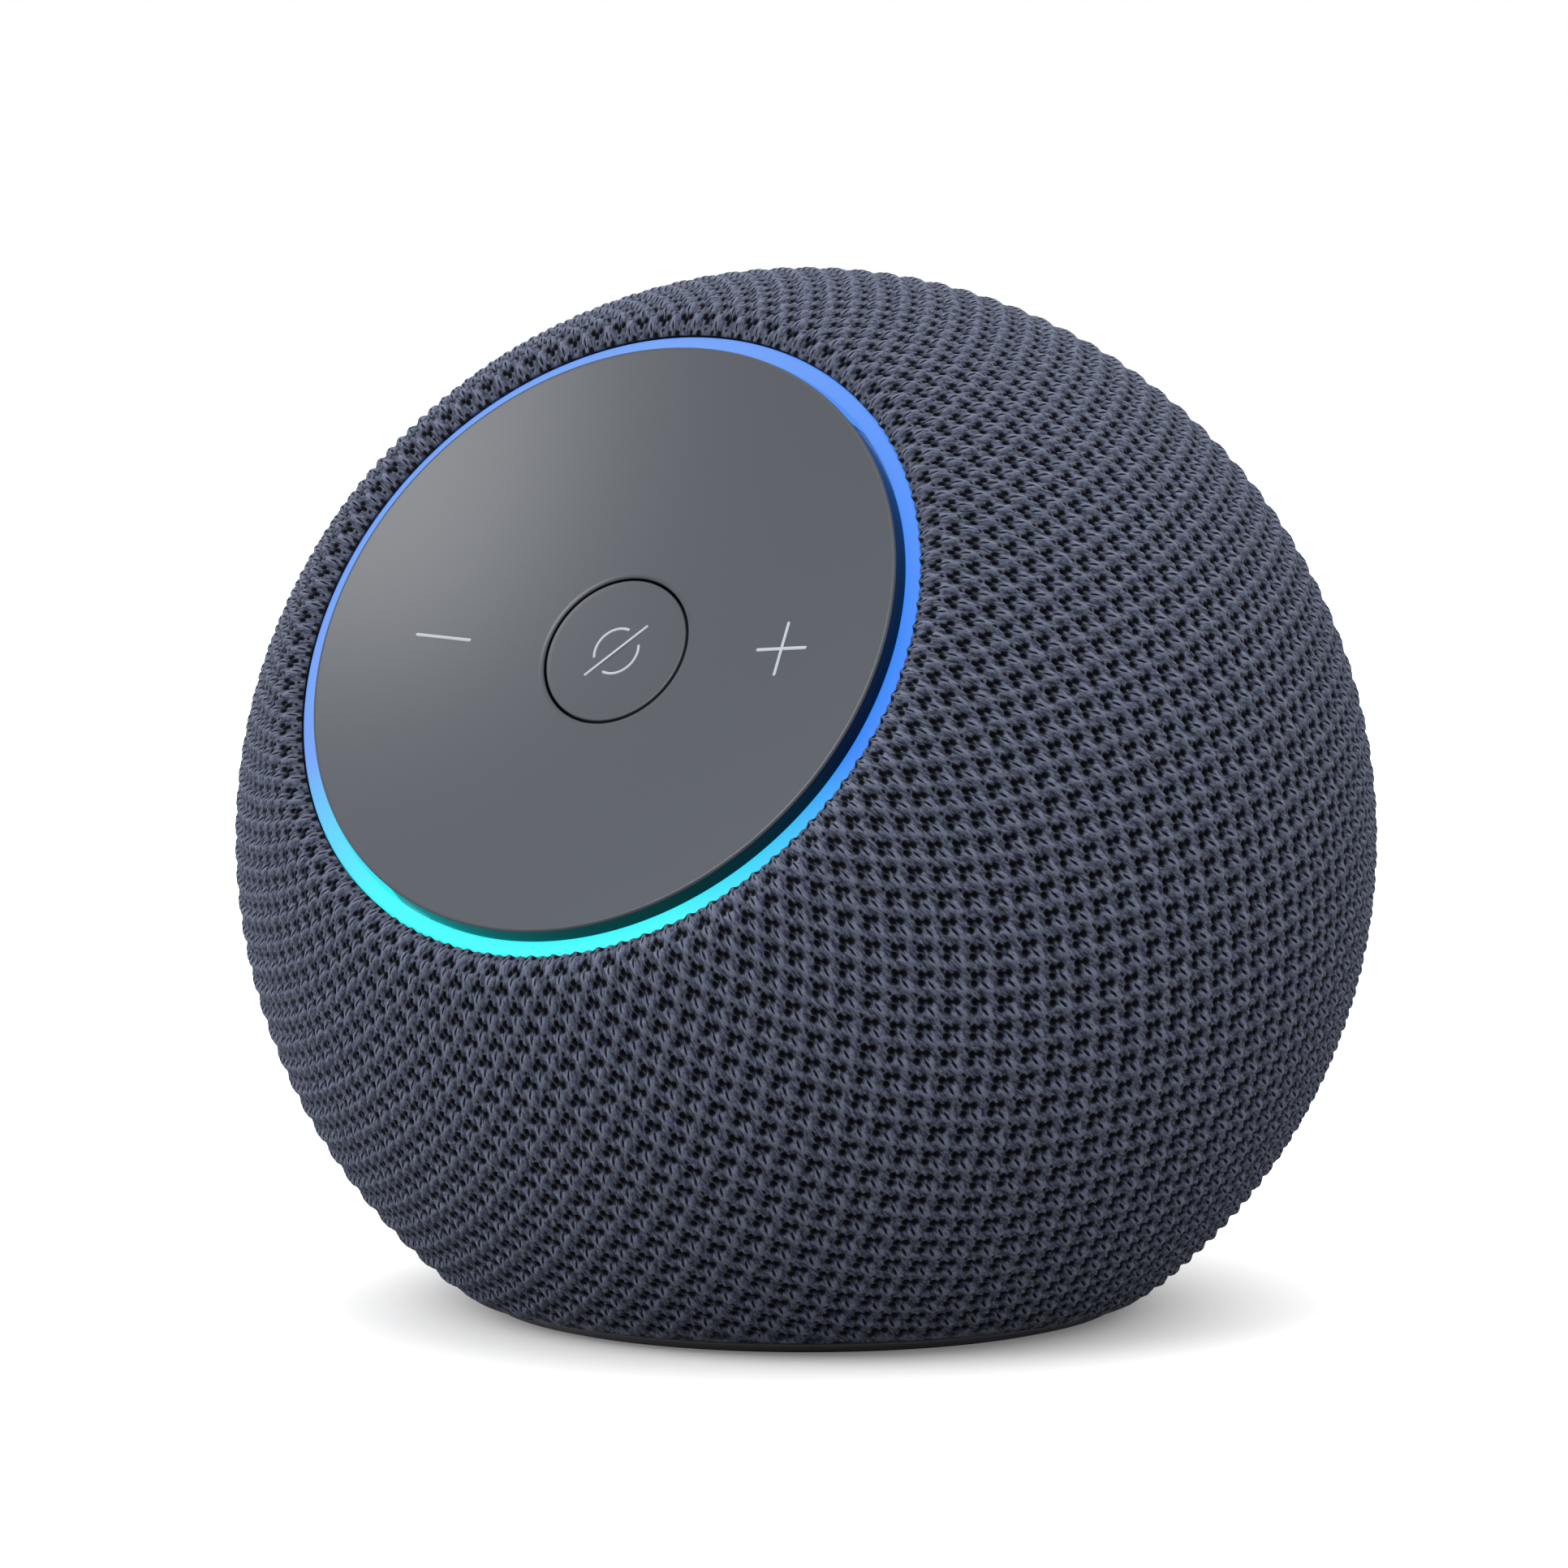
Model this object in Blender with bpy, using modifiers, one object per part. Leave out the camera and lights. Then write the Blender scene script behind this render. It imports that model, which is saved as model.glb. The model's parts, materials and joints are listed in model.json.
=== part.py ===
"""Smart speaker: a fabric-covered ball on a flat base, with a tilted concave control face.

Frame: metres, +Z up, origin at the centre of the base's underside, control face towards -Y.
The ball's centre stands above the origin. Three tilted empties hang from it:
  face_frame     +Z is the outward normal of the control face, +Y runs up the face
  woofer_frame   +Z is the woofer's axis, square to the face's normal, so it fires up and back
  tweeter_frame  +Z is the tweeter's axis, forwards and down
"""

from math import acos, asin, atan2, ceil, cos, pi, radians, sin, sqrt

import bmesh
import bpy
from mathutils import Vector

MM = 0.001

# Ball and base
BODY_RADIUS = 54.35 * MM
FABRIC_EDGE_RADIUS = 32.8 * MM
FABRIC_EDGE_HEIGHT = 1.5 * MM
FABRIC_THICKNESS = 1.1 * MM
HOUSING_WALL = 2.0 * MM
LAYER_GAP = 0.3 * MM
PARTING_HEIGHT = 34.0 * MM
FLOOR_THICKNESS = 1.6 * MM

# Base plate and foot
BASE_PLATE_THICKNESS = 3.7 * MM
BASE_RIM_HEIGHT = 0.9 * MM
BASE_INSET = 1.4 * MM
BASE_FLARE = 1.3 * MM
BASE_NECK_CLEARANCE = 0.65 * MM
FOOT_THICKNESS = 0.9 * MM
FOOT_LIP = 0.6 * MM

# Control face
FACE_TILT = radians(30)
OPENING_RADIUS = 31.6 * MM
LIP_RADIUS = 3.0 * MM
LIP_OVERHANG = 1.55 * MM
RING_SHOW = 1.9 * MM
PLATE_THICKNESS = 1.6 * MM
PLATE_STAND = 1.5 * MM
PLATE_SKIRT = 2.5 * MM
DISH_DEPTH = 3.7 * MM
RING_DEPTH = 5.2 * MM
RING_FOOT = 2.1 * MM
BUTTON_RADIUS = 7.15 * MM
BUTTON_GAP = 0.25 * MM
VOLUME_KEY_INSET = 11.7 * MM
BOARD_HALF_WIDTH = 8.0 * MM
PIVOT_OFFSET = 16.0 * MM
PIVOT_PIN_RADIUS = 1.0 * MM
PIVOT_CLEARANCE = 0.06 * MM

# Woofer and its enclosure
WOOFER_RADIUS = 31.5 * MM
COIL_RADIUS = 9.3 * MM
MAGNET_RADIUS = 19.0 * MM
ENCLOSURE_DEPTH = 50.2 * MM
ENCLOSURE_WALL = 1.3 * MM

# Tweeter
TWEETER_ELEVATION = radians(-31)
TWEETER_RADIUS = 11.0 * MM
DOME_RADIUS = 6.6 * MM

# Power inlet
INLET_HEIGHT = 15.0 * MM
BEZEL_RADIUS = 7.0 * MM
RECESS_RADIUS = 6.0 * MM
RECESS_DEPTH = 7.5 * MM
SOCKET_RADIUS = 2.9 * MM
SOCKET_DEPTH = 9.0 * MM

# Boards and fasteners
BOARD_THICKNESS = 1.6 * MM
BOARD_SCREW_ANGLE = radians(5)
CABLE_FOOT = -15.5 * MM
POST_RADIUS = 3.0 * MM
SMALL_SCREW_RADIUS = 0.8 * MM
SMALL_SCREW_HEAD = 1.35 * MM
BASE_SCREW_RADIUS = 1.1 * MM
BASE_SCREW_HEAD = 2.2 * MM
BASE_SCREW_HEAD_HEIGHT = 1.0 * MM
HOLE_CLEARANCE = 0.3 * MM

# Facets round a turned piece; the ball's follow its size, so that its layers keep their gap
FACET_SAG = 0.14 * MM
RING_STEPS = 36
SMALL_STEPS = 24
PIN_STEPS = 12
SCREW_STEPS = 8

# Derived places on the ball
SHELL_STEPS = 4 * ceil(pi / acos(1 - FACET_SAG / BODY_RADIUS) / 4)
PLATE_RADIUS = OPENING_RADIUS - RING_SHOW
VOLUME_KEY_OFFSET = PLATE_RADIUS - VOLUME_KEY_INSET
CENTRE_HEIGHT = FABRIC_EDGE_HEIGHT + sqrt(BODY_RADIUS**2 - FABRIC_EDGE_RADIUS**2)
HOUSING_RADIUS = BODY_RADIUS - FABRIC_THICKNESS - LAYER_GAP
INNER_RADIUS = HOUSING_RADIUS - HOUSING_WALL
WALL_MIDDLE = (HOUSING_RADIUS + INNER_RADIUS) / 2
LIP_CENTRE_RADIUS = OPENING_RADIUS + LIP_OVERHANG
LIP_CENTRE = sqrt((BODY_RADIUS - LIP_RADIUS) ** 2 - LIP_CENTRE_RADIUS**2)
LIP_ROLL = asin(LIP_OVERHANG / LIP_RADIUS)
FABRIC_EDGE = LIP_CENTRE + LIP_RADIUS * cos(LIP_ROLL)
HOUSING_FLAT = LIP_CENTRE + (LIP_RADIUS - FABRIC_THICKNESS) * cos(LIP_ROLL) - LAYER_GAP
RING_TOP = FABRIC_EDGE - 0.2 * MM
PLATE_RIM = RING_TOP + PLATE_STAND

# Derived heights along the face's normal, from the ball's centre
RING_FOOT_TOP = RING_TOP - RING_DEPTH + 1.2 * MM
STRIP_TOP = RING_TOP - RING_DEPTH - LAYER_GAP
LED_HEIGHT = 0.9 * MM
RING_BOARD_TOP = STRIP_TOP - LED_HEIGHT - LAYER_GAP
RING_BOARD_BOTTOM = RING_BOARD_TOP - 1.0 * MM
CARRIER_RIM = RING_BOARD_BOTTOM - LAYER_GAP
CARRIER_FLOOR_TOP = CARRIER_RIM - 1.4 * MM
CARRIER_BOTTOM = CARRIER_FLOOR_TOP - 1.4 * MM
CONTROL_BOARD_BOTTOM = CARRIER_FLOOR_TOP + 1.0 * MM
CONTROL_BOARD_TOP = CONTROL_BOARD_BOTTOM + 1.0 * MM
KEY_BOTTOM = CONTROL_BOARD_TOP + LAYER_GAP
KEY_TOP = KEY_BOTTOM + 1.7 * MM
PRESSER_END = KEY_TOP + LAYER_GAP
PIVOT_HEIGHT = PRESSER_END + 0.1 * MM
ARM_TOP = CARRIER_BOTTOM - LAYER_GAP
ARM_BOTTOM = ARM_TOP - 1.1 * MM

BUTTON_DISH_RISE = DISH_DEPTH * (BUTTON_RADIUS / PLATE_RADIUS) ** 2
COLLAR_END = PLATE_RIM - DISH_DEPTH + BUTTON_DISH_RISE - PLATE_THICKNESS - 0.4 * MM
CABLE_HOLE_OFFSET = -(BOARD_HALF_WIDTH + 2.5 * MM)
FACE_SCREW_CIRCLE = OPENING_RADIUS - 1.7 * MM
FACE_ARM_ANGLES = [radians(a) for a in (30, 150, 210, 330)]

# Derived heights along the woofer's axis, from the ball's centre
LEDGE_BOTTOM = sqrt(INNER_RADIUS**2 - (WOOFER_RADIUS + 2.4 * MM) ** 2) - 1.2 * MM
LEDGE_TOP = LEDGE_BOTTOM + 1.6 * MM
GASKET_TOP = LEDGE_BOTTOM - LAYER_GAP
FLANGE_TOP = GASKET_TOP - 0.6 * MM - LAYER_GAP
FLANGE_BOTTOM = FLANGE_TOP - 1.6 * MM
RIM_TOP = FLANGE_BOTTOM - LAYER_GAP
RIM_BOTTOM = RIM_TOP - 1.5 * MM
PLATE_TOP = FLANGE_TOP - 19.7 * MM
PLATE_BOTTOM = PLATE_TOP - 3.2 * MM
MAGNET_TOP = PLATE_BOTTOM - LAYER_GAP
MAGNET_BOTTOM = MAGNET_TOP - 7.8 * MM
YOKE_TOP = MAGNET_BOTTOM - LAYER_GAP
YOKE_BOTTOM = YOKE_TOP - 3.2 * MM
CONE_EDGE_RADIUS = WOOFER_RADIUS - 9.3 * MM
WOOFER_SCREW_CIRCLE = WOOFER_RADIUS - SMALL_SCREW_HEAD
ENCLOSURE_RADIUS = WOOFER_SCREW_CIRCLE - SMALL_SCREW_HEAD - LAYER_GAP

# Derived places of the base, its boards and the inlet
BASE_PLATE_RADIUS = FABRIC_EDGE_RADIUS - BASE_INSET
BASE_FOOT_RADIUS = BASE_PLATE_RADIUS - BASE_FLARE
FABRIC_EDGE_INNER = sqrt(FABRIC_EDGE_RADIUS**2 - 2 * BODY_RADIUS * FABRIC_THICKNESS + FABRIC_THICKNESS**2)
BASE_NECK_RADIUS = FABRIC_EDGE_INNER - BASE_NECK_CLEARANCE
BASE_TOP = LAYER_GAP + BASE_PLATE_THICKNESS
FLOOR_BOTTOM = BASE_TOP + LAYER_GAP
FLOOR_TOP = FLOOR_BOTTOM + FLOOR_THICKNESS
POST_TOP = FLOOR_TOP + 2.4 * MM
BOARD_BOTTOM = POST_TOP + LAYER_GAP
BOARD_TOP = BOARD_BOTTOM + BOARD_THICKNESS
PART_BOTTOM = BOARD_TOP + LAYER_GAP
BOARD_RADIUS = sqrt(INNER_RADIUS**2 - (CENTRE_HEIGHT - BOARD_BOTTOM) ** 2) - 2.8 * MM
BASE_SCREW_CIRCLE = BASE_PLATE_RADIUS - 5.4 * MM
INLET_SURFACE = sqrt(BODY_RADIUS**2 - (CENTRE_HEIGHT - INLET_HEIGHT) ** 2)
RECESS_FLOOR = INLET_SURFACE - RECESS_DEPTH

# Derived places along the tweeter's axis, from the ball's centre
TWEETER_TOP = sqrt(INNER_RADIUS**2 - TWEETER_RADIUS**2) - 1.7 * MM
TWEETER_FLANGE = TWEETER_TOP - 1.5 * MM
TWEETER_BACK = TWEETER_TOP - 9.0 * MM
TWEETER_POST_OFFSET = TWEETER_RADIUS - 1.8 * MM


# ---- helpers -------------------------------------------------------------------------------


def clear_scene():
    for obj in list(bpy.data.objects):
        bpy.data.objects.remove(obj, do_unlink=True)


def new_collection(name):
    collection = bpy.data.collections.new(name)
    bpy.context.scene.collection.children.link(collection)
    return collection


def new_empty(name, location, tilt=0.0):
    """An empty at a place in the world, turned about X by tilt."""
    empty = bpy.data.objects.new(name, None)
    empty.empty_display_size = 10 * MM
    empty.location = location
    empty.rotation_euler = (tilt, 0, 0)
    PARTS.objects.link(empty)
    return empty


def place(obj, parent, location=(0, 0, 0), turn=(0, 0, 0)):
    obj.parent = parent
    obj.location = location
    obj.rotation_euler = turn


def make_cutter(obj):
    """Hides a helper solid and moves it to the cutters' collection."""
    PARTS.objects.unlink(obj)
    CUTTERS.objects.link(obj)
    obj.hide_render = True
    obj.display_type = "WIRE"
    return obj


def finish(obj, colour, roughness, metallic=0.0):
    """Gives the object its own Principled material."""
    made = bpy.data.materials.new(obj.name + "_finish")
    made.use_nodes = True
    shader = made.node_tree.nodes["Principled BSDF"]
    shader.inputs["Base Color"].default_value = (*colour, 1)
    shader.inputs["Roughness"].default_value = roughness
    shader.inputs["Metallic"].default_value = metallic
    made.diffuse_color = (*colour, 1)
    obj.data.materials.append(made)
    return obj


def new_object(name, mesh):
    obj = bpy.data.objects.new(name, mesh)
    PARTS.objects.link(obj)
    return obj


def arc(radius, centre, start, end, steps):
    """Points (radius, height) on an arc about centre; angles run from the axis outwards."""
    points = []
    for i in range(steps + 1):
        angle = start + (end - start) * i / steps
        points.append((centre[0] + radius * sin(angle), centre[1] + radius * cos(angle)))
    return points


def turned(name, profile, parent, steps=SMALL_STEPS, closed=True, location=(0, 0, 0), turn=(0, 0, 0)):
    """A profile of (radius, height) points, top to bottom down its outer side, turned about Z.

    A closed profile makes a ring. One that starts and ends on the axis makes a disc or a bowl.
    """
    mesh = bpy.data.meshes.new(name)
    count = len(profile)
    edges = [(i, i + 1) for i in range(count - 1)]
    if closed:
        edges.append((count - 1, 0))
    mesh.from_pydata([(r, 0, h) for r, h in profile], edges, [])
    obj = new_object(name, mesh)
    screw = obj.modifiers.new("turn", "SCREW")
    screw.axis = "Z"
    screw.angle = 2 * pi
    screw.steps = steps
    screw.render_steps = steps
    screw.use_merge_vertices = True
    screw.merge_threshold = 1e-6
    screw.use_smooth_shade = True
    place(obj, parent, location, turn)
    return obj


def disc(name, radius, bottom, top, parent, steps=SMALL_STEPS, location=(0, 0, 0), turn=(0, 0, 0)):
    """A plain cylinder from bottom to top, about the local Z."""
    profile = [(0, top), (radius, top), (radius, bottom), (0, bottom)]
    return turned(name, profile, parent, steps, False, location, turn)


def ring(name, inner, outer, bottom, top, parent, steps=SMALL_STEPS):
    """A flat ring with square edges."""
    profile = [(inner, top), (outer, top), (outer, bottom), (inner, bottom)]
    return turned(name, profile, parent, steps)


def block(name, size, centre, parent, turn=(0, 0, 0), bevel=0.0):
    """A box of the given sides."""
    mesh = bpy.data.meshes.new(name)
    shape = bmesh.new()
    bmesh.ops.create_cube(shape, size=1)
    bmesh.ops.scale(shape, vec=size, verts=shape.verts)
    shape.to_mesh(mesh)
    shape.free()
    obj = new_object(name, mesh)
    place(obj, parent, centre, turn)
    if bevel:
        edge = obj.modifiers.new("edge", "BEVEL")
        edge.width = bevel
        edge.segments = 2
    return obj


def boolean(target, operation, tools):
    for tool in tools:
        modifier = target.modifiers.new(tool.name, "BOOLEAN")
        modifier.operation = operation
        modifier.solver = "EXACT"
        modifier.object = tool


def cut(target, *tools):
    boolean(target, "DIFFERENCE", tools)


def join(target, *tools):
    boolean(target, "UNION", tools)


def rounds(count, first, radius):
    """Places evenly round a circle: (x, y) pairs."""
    turns = [first + 2 * pi * i / count for i in range(count)]
    return [(radius * cos(a), radius * sin(a)) for a in turns]


def screw_at(name, x, y, head_bottom, head_top, tip, shaft, head, parent):
    """A screw driven up the local Z: a pan head below, and a shaft to its tip."""
    profile = [(0, tip), (shaft, tip), (shaft, head_top), (head, head_top)]
    profile += [(head, head_bottom + 0.3 * MM), (head - 0.3 * MM, head_bottom), (0, head_bottom)]
    obj = turned(name, profile, parent, SCREW_STEPS, False, (x, y, 0))
    return finish(obj, (0.35, 0.35, 0.37), 0.35, 1.0)


def dish(radius):
    """Height of the face's concave surface at a radius from its axis."""
    return PLATE_RIM - DISH_DEPTH * (1 - (radius / PLATE_RADIUS) ** 2)


def dish_points(start, end, drop, steps):
    radii = [start + (end - start) * i / steps for i in range(steps + 1)]
    return [(r, dish(r) - drop) for r in radii]


def wire(name, points, radius, parent):
    """A round lead through points, with closed ends."""
    curve = bpy.data.curves.new(name, "CURVE")
    curve.dimensions = "3D"
    curve.bevel_depth = radius
    curve.bevel_resolution = 1
    curve.use_fill_caps = True
    spline = curve.splines.new("POLY")
    spline.points.add(len(points) - 1)
    for point, co in zip(spline.points, points):
        point.co = (*co, 1)
    obj = bpy.data.objects.new(name, curve)
    PARTS.objects.link(obj)
    obj.parent = parent
    return obj


def smooth_route(corners, steps):
    """A Catmull-Rom curve through the corners, as points."""
    ends = [2 * corners[0] - corners[1]] + corners + [2 * corners[-1] - corners[-2]]
    points = []
    for i in range(1, len(ends) - 2):
        before, a, b, after = ends[i - 1 : i + 3]
        for step in range(steps):
            t = step / steps
            points.append(
                0.5 * (2 * a + (b - before) * t + (2 * before - 5 * a + 4 * b - after) * t**2
                       + (3 * a - 3 * b + after - before) * t**3)
            )
    return points + [corners[-1]]


# ---- ball: fabric, shells, base ------------------------------------------------------------


def make_fabric_cover():
    """Knit skin of the ball, rolled over the edge of the face opening and cut flat below."""
    inner = BODY_RADIUS - FABRIC_THICKNESS
    meeting = atan2(LIP_CENTRE_RADIUS, LIP_CENTRE)
    centre = (LIP_CENTRE_RADIUS, LIP_CENTRE)
    lip_inner = LIP_RADIUS - FABRIC_THICKNESS
    lip_steps = 3
    inner_steps = round((pi - meeting) * SHELL_STEPS / (2 * pi))
    outer_steps = round(0.75 * inner_steps)
    profile = arc(LIP_RADIUS, centre, -LIP_ROLL, meeting, lip_steps)
    profile += arc(BODY_RADIUS, (0, 0), meeting, pi, outer_steps)[1:]
    profile += arc(inner, (0, 0), pi, meeting, inner_steps)
    profile += arc(lip_inner, centre, meeting, -LIP_ROLL, lip_steps)[1:]
    # The two arcs end on the axis, so the profile opens there and the rolled edge closes it.
    on_axis = lip_steps + outer_steps
    ordered = profile[on_axis + 1 :] + profile[: on_axis + 1]
    ordered[0] = (0, ordered[0][1])
    ordered[-1] = (0, ordered[-1][1])
    cover = turned("fabric_cover", ordered, FACE_FRAME, SHELL_STEPS, False)
    cut(cover, BELOW_FABRIC, INLET_HOLE)
    return finish(cover, (0.045, 0.053, 0.083), 0.9)


def make_upper_grille():
    """Plastic shell of the upper ball: face opening, sound slots, woofer ledge, face arms."""
    first = acos((PARTING_HEIGHT + LAYER_GAP - CENTRE_HEIGHT) / HOUSING_RADIUS)
    last = acos((PARTING_HEIGHT + LAYER_GAP - CENTRE_HEIGHT) / INNER_RADIUS)
    profile = arc(HOUSING_RADIUS, (0, 0), 0, first, 13) + arc(INNER_RADIUS, (0, 0), last, 0, 7)
    grille = turned("upper_grille", profile, BALL_FRAME, SHELL_STEPS, False)
    opening = OPENING_RADIUS + LAYER_GAP
    hole = disc("face_opening", opening, ARM_BOTTOM, BODY_RADIUS, FACE_FRAME, RING_STEPS)
    flat = disc("face_flat", BODY_RADIUS, HOUSING_FLAT, BODY_RADIUS, FACE_FRAME, 8)
    middle = (LEDGE_BOTTOM + LEDGE_TOP) / 2
    ledge_edge = sqrt(WALL_MIDDLE**2 - middle**2)
    ledge_hole = WOOFER_RADIUS - 3.5 * MM
    ledge = ring("woofer_ledge", ledge_hole, ledge_edge, LEDGE_BOTTOM, LEDGE_TOP, WOOFER_FRAME)
    cut(grille, make_cutter(flat), make_cutter(hole))
    for i in range(-3, 4):
        across = i * 6.4 * MM
        reach = sqrt((ledge_hole - 2 * MM) ** 2 - across**2)
        slot = block(f"woofer_slot_{i + 4}", (3.4 * MM, 2 * reach, BODY_RADIUS),
                     (across, 0, BODY_RADIUS), WOOFER_FRAME)
        cut(grille, make_cutter(slot))
    join(grille, make_cutter(ledge))
    arm_start = OPENING_RADIUS - 3.7 * MM
    arm_end = sqrt(WALL_MIDDLE**2 - ARM_TOP**2)
    length = arm_end - arm_start
    middle = arm_start + length / 2
    for i, angle in enumerate(FACE_ARM_ANGLES):
        arm = block(f"face_arm_{i + 1}", (length, 6 * MM, ARM_TOP - ARM_BOTTOM),
                    (middle * cos(angle), middle * sin(angle), (ARM_TOP + ARM_BOTTOM) / 2),
                    FACE_FRAME, (0, 0, angle))
        join(grille, make_cutter(arm))
    cut(grille, *FACE_SCREW_HOLES, *WOOFER_SCREW_HOLES)
    return finish(grille, (0.03, 0.03, 0.035), 0.5)


def make_lower_housing():
    """Plastic shell of the lower ball: floor, screw posts, tweeter slots and posts, inlet hole."""
    top = PARTING_HEIGHT
    outer_top = acos((top - CENTRE_HEIGHT) / HOUSING_RADIUS)
    outer_low = acos((FLOOR_BOTTOM - CENTRE_HEIGHT) / HOUSING_RADIUS)
    inner_top = acos((top - CENTRE_HEIGHT) / INNER_RADIUS)
    inner_low = acos((FLOOR_TOP - CENTRE_HEIGHT) / INNER_RADIUS)
    profile = [(0, FLOOR_TOP - CENTRE_HEIGHT)]
    profile += arc(INNER_RADIUS, (0, 0), inner_low, inner_top, 4)
    profile += arc(HOUSING_RADIUS, (0, 0), outer_top, outer_low, 5)
    profile += [(0, FLOOR_BOTTOM - CENTRE_HEIGHT)]
    housing = turned("lower_housing", profile, BALL_FRAME, SHELL_STEPS, False)
    posts = rounds(4, pi / 4, BASE_SCREW_CIRCLE) + BOARD_SCREW_PLACES
    for i, (x, y) in enumerate(posts):
        post = disc(f"floor_post_{i + 1}", POST_RADIUS, FLOOR_BOTTOM + 0.5 * MM, POST_TOP, GROUND, 12,
                    (x, y, 0))
        join(housing, make_cutter(post))
    post_end = sqrt(WALL_MIDDLE**2 - TWEETER_POST_OFFSET**2)
    for name, side in (("left", -1), ("right", 1)):
        post = disc(f"tweeter_post_{name}", 1.7 * MM, TWEETER_TOP + LAYER_GAP, post_end,
                    TWEETER_FRAME, 10, (side * TWEETER_POST_OFFSET, 0, 0))
        join(housing, make_cutter(post))
    for i in range(-2, 3):
        slot = block(f"tweeter_slot_{i + 3}", (1.4 * MM, 13 * MM, 3 * HOUSING_WALL),
                     (i * 2.6 * MM, 0, WALL_MIDDLE), TWEETER_FRAME)
        cut(housing, make_cutter(slot))
    cut(housing, INLET_HOLE, *BASE_SCREW_HOLES, *BOARD_SCREW_HOLES)
    return finish(housing, (0.03, 0.03, 0.035), 0.5)


def make_base_plate():
    """Dark plate under the fabric's edge, recessed for the foot and counterbored for screws."""
    rim_top = LAYER_GAP + BASE_RIM_HEIGHT
    foot_recess = BASE_FOOT_RADIUS - FOOT_LIP
    recess_top = FOOT_THICKNESS + LAYER_GAP
    profile = [(0, BASE_TOP), (BASE_NECK_RADIUS, BASE_TOP), (BASE_NECK_RADIUS, rim_top)]
    profile += [(BASE_PLATE_RADIUS - 0.2 * MM, rim_top), (BASE_PLATE_RADIUS, rim_top - 0.2 * MM)]
    profile += [(BASE_FOOT_RADIUS + 0.3 * MM, LAYER_GAP + 0.15 * MM), (BASE_FOOT_RADIUS, LAYER_GAP)]
    profile += [(foot_recess, LAYER_GAP), (foot_recess, recess_top), (0, recess_top)]
    plate = turned("base_plate", profile, GROUND, RING_STEPS, False)
    cut(plate, *BASE_SCREW_BORES)
    return finish(plate, (0.028, 0.028, 0.033), 0.45)


def make_foot_pad():
    radius = BASE_FOOT_RADIUS - FOOT_LIP - LAYER_GAP
    profile = [(0, FOOT_THICKNESS), (radius, FOOT_THICKNESS), (radius, 0.3 * MM)]
    profile += [(radius - 0.3 * MM, 0), (0, 0)]
    pad = turned("foot_pad", profile, GROUND, RING_STEPS, False)
    return finish(pad, (0.02, 0.02, 0.022), 0.85)


# ---- power inlet ---------------------------------------------------------------------------


def make_inlet():
    """A recessed bezel at the back, an inlet body on the board behind it, and its centre pin."""
    back = (radians(-90), 0, 0)
    at = (0, 0, INLET_HEIGHT)
    floor = 2.0 * MM
    nose = SOCKET_RADIUS + 1.0 * MM
    outer_end = BODY_RADIUS
    profile = [(RECESS_RADIUS, outer_end), (BEZEL_RADIUS, outer_end), (BEZEL_RADIUS, RECESS_FLOOR - floor)]
    profile += [(nose + LAYER_GAP, RECESS_FLOOR - floor), (nose + LAYER_GAP, RECESS_FLOOR)]
    profile += [(RECESS_RADIUS, RECESS_FLOOR)]
    bezel = turned("inlet_bezel", profile, GROUND, SMALL_STEPS, True, at, back)
    ball = turned("bezel_trim", arc(BODY_RADIUS - 0.2 * MM, (0, 0), 0, pi, 24), BALL_FRAME, SHELL_STEPS,
                  False)
    boolean(bezel, "INTERSECT", [make_cutter(ball)])
    finish(bezel, (0.02, 0.02, 0.022), 0.4)

    body_front = RECESS_FLOOR - floor - LAYER_GAP
    body_depth = 11.0 * MM
    side = 2 * (INLET_HEIGHT - PART_BOTTOM)
    body_middle = (0, body_front - body_depth / 2, INLET_HEIGHT)
    body = block("power_inlet", (side + 1 * MM, body_depth, side), body_middle, GROUND)
    mouth = RECESS_FLOOR - 0.1 * MM
    barrel = disc("inlet_nose", nose, body_front - 1 * MM, mouth, GROUND, SMALL_STEPS, at, back)
    socket_floor = mouth - SOCKET_DEPTH
    socket = disc("inlet_socket", SOCKET_RADIUS, socket_floor, mouth + 1 * MM, GROUND, SMALL_STEPS, at, back)
    join(body, make_cutter(barrel))
    cut(body, make_cutter(socket))
    finish(body, (0.015, 0.015, 0.016), 0.45)

    pin_start = mouth - SOCKET_DEPTH + LAYER_GAP
    pin = disc("inlet_pin", 0.95 * MM, pin_start, mouth - 0.8 * MM, GROUND, PIN_STEPS, at, back)
    finish(pin, (0.75, 0.7, 0.55), 0.3, 1.0)


# ---- control face --------------------------------------------------------------------------


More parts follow.
